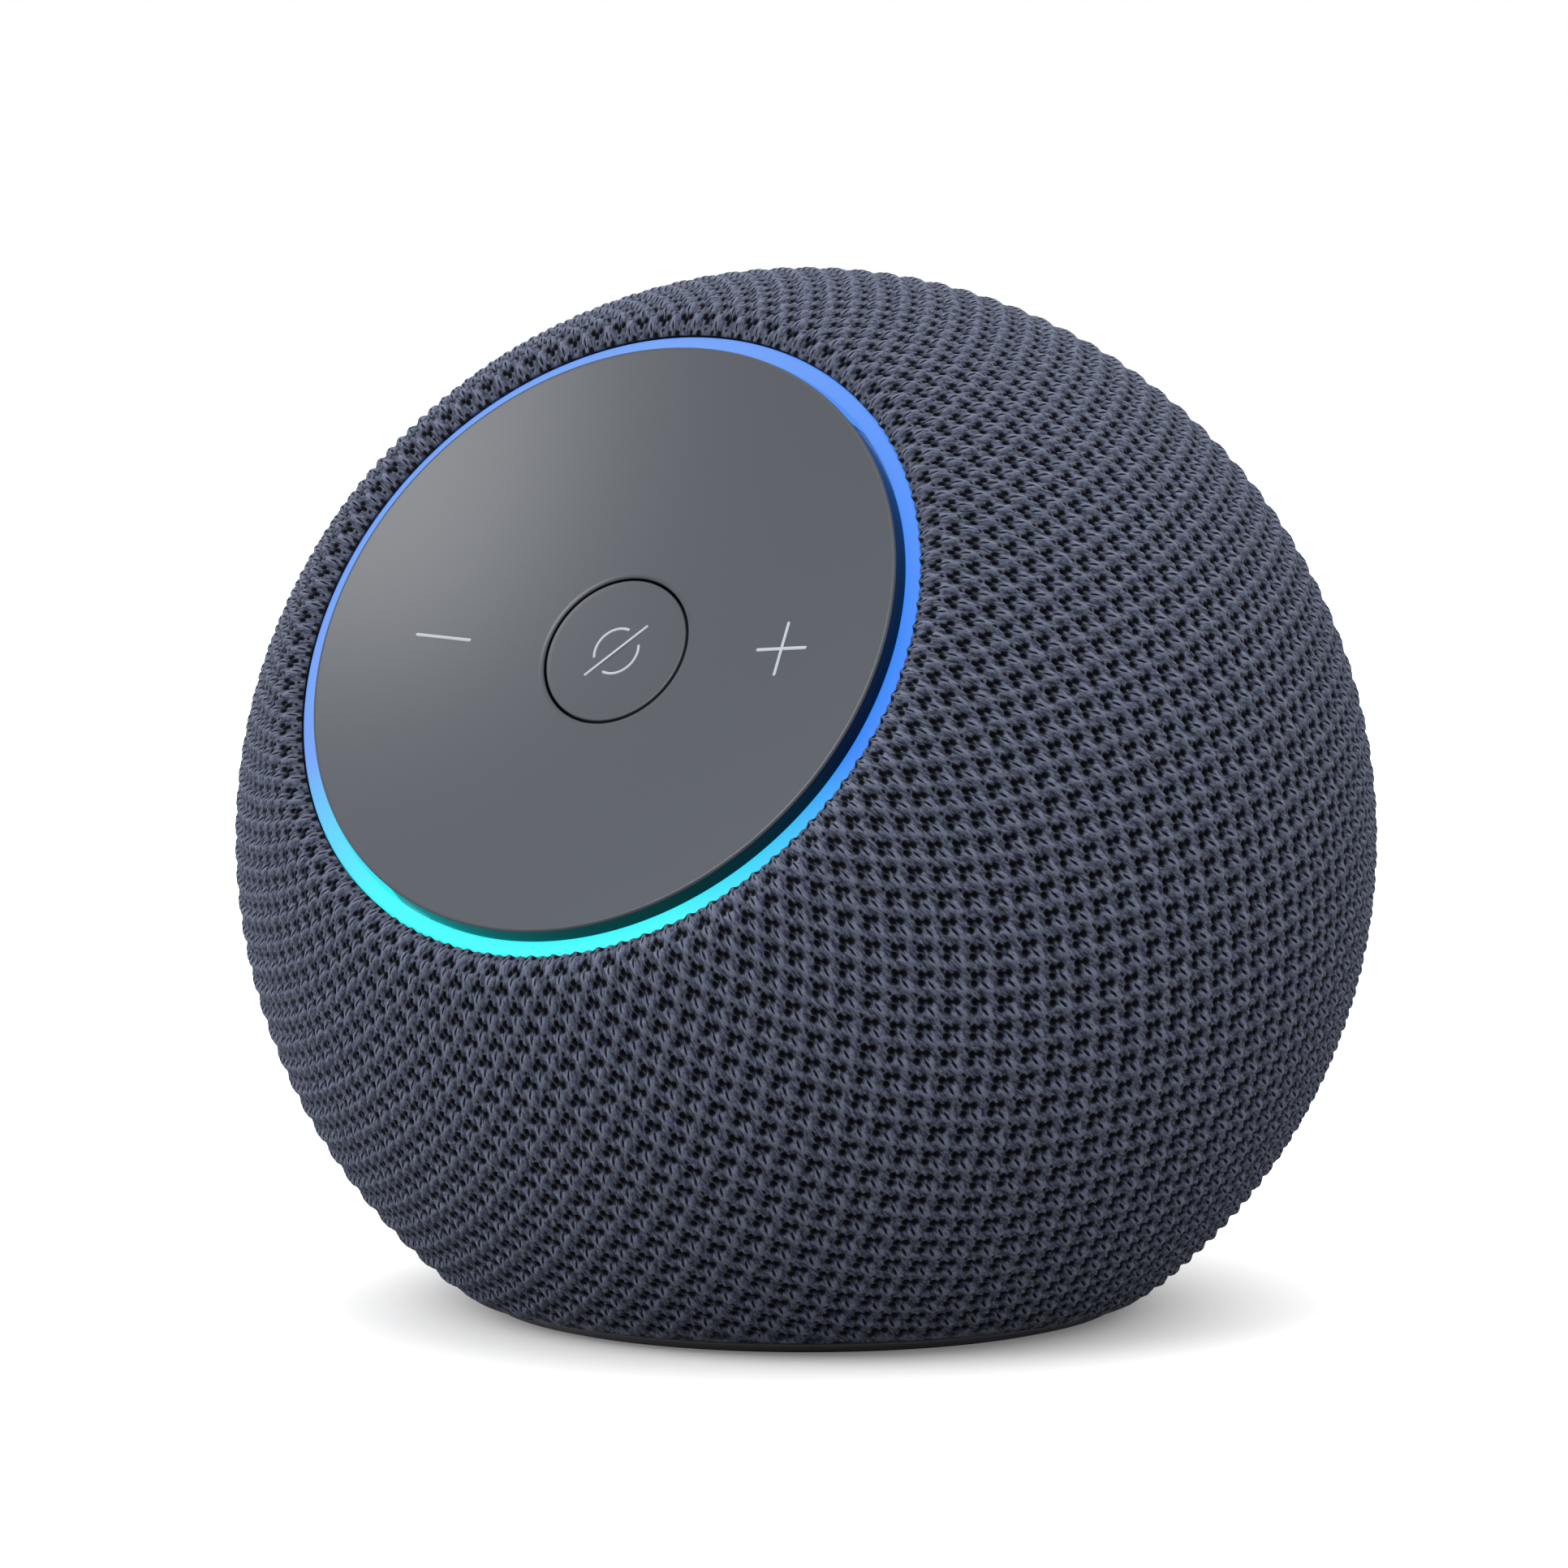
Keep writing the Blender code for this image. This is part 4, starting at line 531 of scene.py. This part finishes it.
# Finish of each CAD slot: (name, colour, roughness, metallic, grain in mm, grain depth in mm).
SLOT_FINISHES = {
    "housing_plastic": ("moulded ABS", "#2A2C31", 0.5, 0.0, 0.4, 0.02),  # grey-black satin shell
    "base_plastic": ("textured ABS", "#2B2B2F", 0.48, 0.0, 0.3, 0.02),  # dark grey, soft highlights
    "foot_rubber": ("moulded silicone rubber", "#1D1D1F", 0.85, 0.0, 0.5, 0.03),  # dull black
    "face_plastic": ("painted polycarbonate", "#5D6167", 0.4, 0.0, 0.2, 0.005),  # smooth grey satin
    "diffuser": ("frosted polycarbonate", "#DDE6F2", 0.4, 0.0, 0.3, 0.01),  # milky
    "circuit_board": ("solder-masked board", "#12402A", 0.35, 0.0, 1.2, 0.02),  # green lacquer
    "white_board": ("white solder-masked board", "#D8DAD6", 0.4, 0.0, 1.2, 0.02),  # white lacquer
    "chip_resin": ("moulded epoxy", "#17181A", 0.6, 0.0, 0.3, 0.02),  # matt black
    "key_rubber": ("translucent silicone", "#B9BCBD", 0.6, 0.0, 0.3, 0.02),  # milky grey
    "steel": ("zinc-plated steel", "#B4B6B8", 0.32, 1.0, 0.6, 0.01),  # bright
    "basket_steel": ("black-coated steel", "#232427", 0.45, 0.0, 0.4, 0.03),  # black satin
    "ferrite": ("sintered ferrite", "#33353A", 0.55, 0.0, 0.3, 0.03),  # grainy dark grey
    "aluminium": ("pressed aluminium", "#C9CCCF", 0.38, 1.0, 0.5, 0.01),  # pale metal
    "contact_brass": ("nickel-plated brass", "#C7BC9A", 0.3, 1.0, 0.5, 0.01),  # pale gold metal
    "copper_coil": ("enamelled copper wire", "#B4643C", 0.35, 1.0, 0.25, 0.03),  # reddish metal
    "cone_paper": ("pressed paper pulp", "#26262A", 0.85, 0.0, 0.5, 0.05),  # fibrous black
    "surround_rubber": ("butyl rubber", "#1B1B1D", 0.6, 0.0, 0.4, 0.01),  # soft black
    "spider_cloth": ("resin-dipped cotton", "#B88A4A", 0.8, 0.0, 0.6, 0.06),  # amber weave
    "dome_silk": ("doped silk", "#1E1F24", 0.5, 0.0, 0.3, 0.02),  # fine dark cloth
    "ribbon_film": ("polyimide film", "#A8641E", 0.3, 0.0, 1.0, 0.005),  # amber film
    "red_insulation": ("red PVC insulation", "#A81E1E", 0.45, 0.0, 0.5, 0.01),  # satin red
    "black_insulation": ("black PVC insulation", "#1A1A1C", 0.45, 0.0, 0.5, 0.01),  # satin black
    "gasket_foam": ("open-cell foam", "#2A2A2C", 0.95, 0.0, 0.4, 0.08),  # porous, dull
    "knit_fabric": ("knitted cloth", "#3C4150", 0.92, 0.0, 0.5, 0.05),  # slate
}


# ---- add-on ------------------------------------------------------------------------------------


def colour_property(name, description, code):
    """A colour that the user can change, with an sRGB hex code as its default."""
    return bpy.props.FloatVectorProperty(
        name=name, description=description, subtype="COLOR", size=4, min=0, max=1, default=linear(code)
    )


class SpeakerSettings(bpy.types.PropertyGroup):
    """Sizes and colours of the speaker's visible finish."""

    stitch_count: bpy.props.IntProperty(
        name="Stitches", description="Stitches round the cover", default=88, min=40, max=96
    )
    course_pitch: bpy.props.FloatProperty(
        name="Course pitch",
        description="Distance between courses of the knit",
        subtype="DISTANCE",
        unit="LENGTH",
        default=0.0017786,
        min=0.001,
        max=0.004,
    )
    relief: bpy.props.FloatProperty(
        name="Relief",
        description="How far the knit stands out, as a share of the full depth",
        default=1.0,
        min=0,
        max=1.5,
    )
    # Yarn colours: the yarn's own colour, and a paler one that its fibres and crowns are drawn toward. The pull of
    # the crowns toward the pale colour is a painted highlight, and the dark dips are painted shade.
    yarn: colour_property("Yarn", "Colour of the yarn in the dips", "#222634")
    yarn_fibre_and_highlight: colour_property("Yarn crown", "Colour of the yarn where it stands out", "#5F6577")
    # The openings' near-black is painted shade.
    openings: colour_property("Openings", "Colour seen through the knit's openings", "#05060D")
    plate: colour_property("Touch plate", "Colour of the touch plate and the button", "#31353C")
    # The side wall's near-black is painted shade; the wall is the plate's own polycarbonate.
    plate_side_painted_shade: colour_property("Plate side", "Colour of the touch plate's side wall", "#06070D")
    marks: colour_property("Marks", "Colour of the printed marks", "#8D9298")
    glow_front: colour_property("Glow at the front", "Colour of the ring's lower part", "#2CF6FA")
    glow_side: colour_property("Glow at the side", "Colour of the ring's right part", "#1C80F6")
    glow_top: colour_property("Glow at the top", "Colour of the ring's upper and left parts", "#6A9CF2")
    glow_strength: bpy.props.FloatProperty(
        name="Glow", description="Strength of the ring's light", default=1.0, min=0, max=10
    )
    floor: colour_property("Floor", "Colour of the floor", "#E2E2E2")


def wear(piece, body, slot, *nodes):
    """The piece rides on a body and stands for CAD nodes, which are hidden. slot is not used."""
    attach(piece, body)
    if nodes:
        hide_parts(*nodes)


class SPEAKER_OT_knit_cover(bpy.types.Operator):
    """Knit the cover over the ball in sectors, with a rolled hem at the base"""

    bl_idname = "speaker.knit_cover"
    bl_label = "Knitted cover"

    def execute(self, context):
        chosen = context.scene.speaker
        finish = knit_finish(list(chosen.yarn), list(chosen.yarn_fibre_and_highlight), list(chosen.openings))
        points, uv, fields, normals, keep = cover_points(
            chosen.stitch_count, chosen.course_pitch * 1000, chosen.relief
        )
        turn = np.linspace(0, 2 * pi, 13)[:-1]
        radius = HEM_CENTRE[0] + HEM_REACH[0] * np.cos(turn)
        oval = np.stack([radius, HEM_CENTRE[1] + HEM_REACH[1] * np.sin(turn)], axis=-1)
        hem = turned("knit_hem", oval, np.asarray, [finish])
        wear(hem, "housing", "knit_fabric", "fabric_cover")
        size = (points.shape[1] - 1) // len(SECTORS)
        for i, place in enumerate(SECTORS):
            part = slice(i * size, (i + 1) * size + 1)
            faces = slice(i * size, (i + 1) * size)
            sector = skin(
                f"knit_cover_{place}",
                points[:, part],
                [finish],
                uv[:, part],
                {key: values[:, part] for key, values in fields.items()},
                keep[:, faces],
                normals[:, part],
            )
            wear(sector, "housing", "knit_fabric", "fabric_cover")
        return {"FINISHED"}


class SPEAKER_OT_light_ring(bpy.types.Operator):
    """Make the glowing ring between the cover and the touch plate"""

    bl_idname = "speaker.light_ring"
    bl_label = "Light ring"

    def execute(self, context):
        chosen = context.scene.speaker
        inner, outer = PLATE_RADIUS + 0.3, OPENING_RADIUS - 0.05
        low = RING_TOP - RING_DEPTH
        corners = [(inner, RING_TOP), (outer, RING_TOP), (outer, low), (inner, low)]
        finish = glow_finish(
            list(chosen.glow_front), list(chosen.glow_side), list(chosen.glow_top), chosen.glow_strength
        )
        ring = turned("glow_ring", soft_corners(corners, (0.15, 0.2, 0.1, 0.1)), on_face, [finish], 360)
        wear(ring, "housing", "diffuser", "light_ring")
        return {"FINISHED"}


class SPEAKER_OT_touch_plate(bpy.types.Operator):
    """Make the concave touch plate and its minus and plus marks"""

    bl_idname = "speaker.touch_plate"
    bl_label = "Touch plate"

    def execute(self, context):
        chosen = context.scene.speaker
        # Painted polycarbonate: an even grey with a soft sheen.
        paint = grained("painted polycarbonate", 0.2, 0.004, Base_Color=list(chosen.plate), Roughness=0.34)
        # Side wall of the same polycarbonate, glossy enough to mirror the ring; its near-black colour is painted
        # shade of a wall that stands in shadow.
        wall = grained(
            "polished polycarbonate side wall, painted shade",
            0.4,
            0.002,
            Base_Color=list(chosen.plate_side_painted_shade),
            Roughness=0.3,
            Specular_IOR_Level=0.25,
        )
        top_edge, low = PLATE_RADIUS - 0.3, RIM_HEIGHT - PLATE_SKIRT
        top = [(BUTTON_HOLE, dish(BUTTON_HOLE) - 0.12)]
        top += [(r, dish(r)) for r in np.linspace(BUTTON_HOLE + 0.12, top_edge, 60)]
        rim = rounded((top_edge, dish(top_edge)), (PLATE_RADIUS, RIM_HEIGHT), (PLATE_RADIUS, RIM_HEIGHT - 1), 0.25)
        under = [(PLATE_RADIUS, low), (PLATE_RADIUS - SKIRT_THICKNESS, low)]
        inside = np.linspace(PLATE_RADIUS - SKIRT_THICKNESS - 0.1, BUTTON_HOLE, 12)
        under += [(r, dish(r) - PLATE_THICKNESS) for r in inside]
        bands = [0] * (len(top) + len(rim) - 1) + [1] * (len(under) + 1)
        plate = turned("touch_plate", top + rim + under, on_face, [paint, wall], 360, bands=bands)
        wear(plate, "face_plate", "face_plastic", "face_plate")
        # Printed ink: pale grey and matt.
        ink = grained("printed ink", 0.2, 0.002, Base_Color=list(chosen.marks), Roughness=0.6)
        minus = stroke("minus_mark", [straight((-20.9, 0.1), (-15.28, 0.1), MARK_WIDTH)], MARK_WIDTH, ink)
        bars = [
            straight((15.27, 0.14), (20.94, 0.14), MARK_WIDTH),
            straight((18.1, -2.58), (18.1, 2.86), MARK_WIDTH),
        ]
        plus = stroke("plus_mark", bars, MARK_WIDTH, ink)
        for mark in (minus, plus):
            wear(mark, "face_plate", "face_plastic")
        return {"FINISHED"}


class SPEAKER_OT_mute_button(bpy.types.Operator):
    """Make the round button at the middle of the plate, with its crossed circle"""

    bl_idname = "speaker.mute_button"
    bl_label = "Mute button"

    def execute(self, context):
        chosen = context.scene.speaker
        # Painted polycarbonate, as the plate: an even grey with a soft sheen.
        paint = grained("painted polycarbonate cap", 0.2, 0.004, Base_Color=list(chosen.plate), Roughness=0.34)
        edge, top_edge = dish(BUTTON_RADIUS), BUTTON_RADIUS - 0.2
        profile = [(0, dish(0))] + [(r, dish(r)) for r in np.linspace(0.5, top_edge, 20)]
        profile += rounded((top_edge, edge), (BUTTON_RADIUS, edge), (BUTTON_RADIUS, edge - 1), 0.15)
        profile += [(BUTTON_RADIUS, edge - BUTTON_DEPTH), (0, edge - BUTTON_DEPTH)]
        cap = turned("mute_cap", profile, on_face, [paint], 180, closed=False)
        wear(cap, "mute_button", "face_plastic", "mute_button")
        # Printed ink: pale grey and matt.
        ink = grained("printed ink on the cap", 0.2, 0.002, Base_Color=list(chosen.marks), Roughness=0.6)
        lines = [
            bow(ICON_RADIUS, 70, 200, ICON_WIDTH),
            bow(ICON_RADIUS, -112, 18.5, ICON_WIDTH),
            straight((-2.63, -2.6), (2.61, 2.66), ICON_WIDTH),
        ]
        icon = stroke("mute_mark", lines, ICON_WIDTH, ink)
        wear(icon, "mute_button", "face_plastic")
        return {"FINISHED"}


class SPEAKER_OT_base(bpy.types.Operator):
    """Make the dark base plate and its rubber foot"""

    bl_idname = "speaker.base"
    bl_label = "Base and foot"

    def execute(self, context):
        # Textured ABS: dark grey with soft highlights.
        plastic = grained("textured ABS", 0.3, 0.02, Base_Color=linear("#46464C"), Roughness=0.5)
        # Silicone rubber: dull black.
        rubber = grained("moulded silicone rubber", 0.5, 0.03, Base_Color=linear("#1D1D1F"), Roughness=0.85)
        shoulder = (BASE_INNER_RADIUS, BASE_LEDGE)
        outline = [(0, BASE_TOP), (BASE_INNER_RADIUS, BASE_TOP), shoulder]
        outline += rounded(shoulder, (BASE_RADIUS, BASE_LEDGE), (BASE_RADIUS - 1, 0.45), 0.2)
        outline += rounded((BASE_RADIUS, 1.0), (30.1, BASE_BOTTOM), (FOOT_HOLE, BASE_BOTTOM), 0.15)
        outline += [(FOOT_HOLE, BASE_BOTTOM), (FOOT_HOLE, BASE_LEDGE), (0, BASE_LEDGE)]
        plate = turned("base_disc", outline, np.asarray, [plastic], 240, closed=False)
        wear(plate, "housing", "base_plastic", "base_plate")
        # Three shallow grooves round the foot give grip.
        sole = [(0, 0)]
        for middle in GROOVE_RADII:
            groove = np.linspace(-1, 1, 7)
            sole += [(middle + GROOVE_HALF_WIDTH * x, GROOVE_DEPTH * (1 - x * x)) for x in groove]
        sole += rounded((26.8, 0), (FOOT_RADIUS, 0), (FOOT_RADIUS, FOOT_THICKNESS), 0.3)
        sole += [(FOOT_RADIUS, FOOT_THICKNESS), (0, FOOT_THICKNESS)]
        foot = turned("rubber_foot", sole, np.asarray, [rubber], 240, closed=False)
        wear(foot, "housing", "foot_rubber", "foot_pad")
        return {"FINISHED"}


class SPEAKER_OT_power_inlet(bpy.types.Operator):
    """Make the round power inlet at the back: a bezel whose edge follows the ball, a barrel and its pin"""

    bl_idname = "speaker.power_inlet"
    bl_label = "Power inlet"

    def execute(self, context):
        # Moulded nylon: black with a faint sheen.
        nylon = grained("moulded nylon", 0.3, 0.01, Base_Color=linear("#1C1C1F"), Roughness=0.42)
        # Nickel-plated brass: pale, bright metal.
        nickel = grained(
            "nickel-plated brass", 0.4, 0.004, Base_Color=linear("#C7BC9A"), Roughness=0.28, Metallic=1.0
        )
        # Each row of the bezel is a radius and either a height or a depth under the ball's surface.
        back = RECESS_FLOOR - 2
        rows = [
            (BEZEL_INNER, back, None),
            (BEZEL_INNER, RECESS_FLOOR, None),
            (5.7, RECESS_FLOOR, None),
            (5.91, RECESS_FLOOR + 0.09, None),
            (BEZEL_WALL, RECESS_FLOOR + 0.3, None),
            (BEZEL_WALL, None, 0.45),
            (6.03, None, 0.31),
            (6.13, None, 0.21),
            (6.25, None, 0.18),
            (6.85, None, 0.2),
            (6.97, None, 0.26),
            (BEZEL_RADIUS, None, 0.4),
            (BEZEL_RADIUS, back, None),
            (BEZEL_INNER, back, None),
        ]
        angle = np.linspace(0, 2 * pi, 145)
        made = []
        for radius, height, depth in rows:
            x, z = radius * np.cos(angle), radius * np.sin(angle)
            if height is None:
                ball = BALL_RADIUS - depth
                height = np.sqrt(ball**2 - x**2 - (INLET_HEIGHT + z - BALL_CENTRE[2]) ** 2)
            made.append(np.stack([x, z, height + 0 * x], axis=-1))
        points = np.array(made)
        points[:, -1] = points[:, 0]
        wear(skin("inlet_ring", at_inlet(points), [nylon]), "housing", "base_plastic", "inlet_bezel")

        mouth = RECESS_FLOOR - 0.1
        floor = mouth - BARREL_DEPTH
        bore, lip, wall = (BARREL_BORE, floor), (BARREL_BORE, mouth), (BARREL_RADIUS, mouth)
        outline = [(0, floor), bore] + rounded(bore, lip, wall, 0.2)
        outline += rounded(lip, wall, (BARREL_RADIUS, floor), 0.15)
        outline += [(BARREL_RADIUS, floor - 1), (0, floor - 1)]
        barrel = turned("inlet_barrel", outline, at_inlet, [nylon], 96, closed=False)
        wear(barrel, "housing", "base_plastic", "power_inlet")

        foot = floor + 0.3
        tip = [(PIN_RADIUS * cos(a), mouth - 1.4 + 0.6 * sin(a)) for a in np.linspace(0, pi / 2, 7)]
        tip[-1] = (0, tip[-1][1])
        pin = turned("inlet_contact", [(0, foot), (PIN_RADIUS, foot)] + tip, at_inlet, [nickel], 48, closed=False)
        wear(pin, "housing", "contact_brass", "inlet_pin")
        return {"FINISHED"}


class SPEAKER_OT_inner_finishes(bpy.types.Operator):
    """Give every CAD node that is still shown the finish of its slot"""

    bl_idname = "speaker.inner_finishes"
    bl_label = "Inner finishes"

    def execute(self, context):
        made = {}
        for entry in frame["record"]["materials"]:
            name, code, roughness, metallic, grain, depth = SLOT_FINISHES[entry["slot"]]
            made[entry["slot"]] = grained(
                name, grain, depth, Base_Color=linear(code), Roughness=roughness, Metallic=metallic
            )
        for entry in frame["record"]["subparts"]:
            mesh = frame["nodes"][entry["node"]].data
            mesh.materials.clear()
            mesh.materials.append(made[entry["material_slot"]])
        return {"FINISHED"}


class SPEAKER_OT_stage(bpy.types.Operator):
    """Set a pale floor, soft light and the camera"""

    bl_idname = "speaker.stage"
    bl_label = "Stage"

    def execute(self, context):
        scene = context.scene
        mesh = bpy.data.meshes.new("floor")
        corners = [(x, y, 0) for x, y in ((-6, -6), (6, -6), (6, 6), (-6, 6))]
        mesh.from_pydata(corners, [], [(0, 1, 2, 3)])
        floor = bpy.data.objects.new("floor", mesh)
        scene.collection.objects.link(floor)
        # Matt white paper: pale, no highlights.
        paper, tree, shader = new_finish(
            "matt white paper", Base_Color=list(scene.speaker.floor), Roughness=0.95, Emission_Strength=0.12
        )
        shader.inputs["Emission Color"].default_value = (1, 1, 1, 1)
        # Light that reaches the speaker off the floor comes from a darker paper, which keeps its underside dark.
        dim = add(tree, "ShaderNodeBsdfDiffuse", {"Color": linear("#9A9A9A")}).outputs["BSDF"]
        seen = add(tree, "ShaderNodeLightPath").outputs["Is Camera Ray"]
        both = add(tree, "ShaderNodeMixShader", {0: seen, 1: dim, 2: shader.outputs["BSDF"]})
        tree.links.new(both.outputs["Shader"], tree.nodes["Material Output"].inputs["Surface"])
        mesh.materials.append(paper)

        world = bpy.data.worlds.new("soft_room")
        world.use_nodes = True
        back = world.node_tree.nodes["Background"]
        back.inputs["Color"].default_value = (1, 1, 1, 1)
        back.inputs["Strength"].default_value = 1.0
        scene.world = world
        # A wide soft sun from above, a soft box in front that the plate reflects, and one low on the left.
        for name, kind, energy, place in (
            ("key_light", "SUN", 3.2, (0.16, 0.18, 0.96)),
            ("front_light", "AREA", 7.0, (-0.15, -0.9, 0.75)),
            ("left_light", "AREA", 10.0, (-1.0, -0.45, 0.14)),
        ):
            light = bpy.data.lights.new(name, kind)
            light.energy = energy
            if kind == "SUN":
                light.angle = radians(100)
            else:
                light.size = 0.55
            lamp = bpy.data.objects.new(name, light)
            scene.collection.objects.link(lamp)
            lamp.location = place
            lamp.visible_glossy = name == "front_light"
            lamp.rotation_euler = (Vector((0, 0, 0.045)) - lamp.location).to_track_quat("-Z", "Y").to_euler()

        camera = bpy.data.objects.new("camera", bpy.data.cameras.new("camera"))
        scene.collection.objects.link(camera)
        camera.data.lens, camera.data.sensor_width = 138.1, 36.0
        camera.data.clip_start, camera.data.clip_end = 0.05, 30
        # The camera's place, as a turn and a lift round the speaker, and then the turn and lift of its aim.
        turn, lift, reach = radians(30.35), radians(5.19), 0.5777
        place = (reach * sin(turn) * cos(lift), -reach * cos(turn) * cos(lift), 0.04485 + reach * sin(lift))
        turn, lift = radians(30.56), radians(4.68)
        right = (cos(turn), sin(turn), 0)
        away = (sin(turn) * cos(lift), -cos(turn) * cos(lift), sin(lift))
        up = np.cross(away, right)
        rows = [[right[i], up[i], away[i], place[i]] for i in range(3)] + [[0, 0, 0, 1]]
        camera.matrix_world = Matrix(rows)
        scene.camera = camera
        scene.view_settings.view_transform = "Standard"
        return {"FINISHED"}


OPERATORS = (
    SPEAKER_OT_knit_cover,
    SPEAKER_OT_light_ring,
    SPEAKER_OT_touch_plate,
    SPEAKER_OT_mute_button,
    SPEAKER_OT_base,
    SPEAKER_OT_power_inlet,
    SPEAKER_OT_inner_finishes,
    SPEAKER_OT_stage,
)


class SPEAKER_PT_panel(bpy.types.Panel):
    """Sizes, colours and pieces of the speaker"""

    bl_idname = "SPEAKER_PT_panel"
    bl_label = "Smart speaker"
    bl_space_type = "VIEW_3D"
    bl_region_type = "UI"
    bl_category = "Speaker"

    def draw(self, context):
        for name in SpeakerSettings.__annotations__:
            self.layout.prop(context.scene.speaker, name)
        for operator in OPERATORS:
            self.layout.operator(operator.bl_idname)


CLASSES = (SpeakerSettings, *OPERATORS, SPEAKER_PT_panel)


def register():
    for each in CLASSES:
        bpy.utils.register_class(each)
    bpy.types.Scene.speaker = bpy.props.PointerProperty(type=SpeakerSettings)


def unregister():
    del bpy.types.Scene.speaker
    for each in reversed(CLASSES):
        bpy.utils.unregister_class(each)


def main():
    register()
    bpy.ops.speaker.knit_cover()
    bpy.ops.speaker.light_ring()
    bpy.ops.speaker.touch_plate()
    bpy.ops.speaker.mute_button()
    bpy.ops.speaker.base()
    bpy.ops.speaker.power_inlet()
    bpy.ops.speaker.inner_finishes()
    bpy.ops.speaker.stage()


if __name__ == "__main__":
    main()
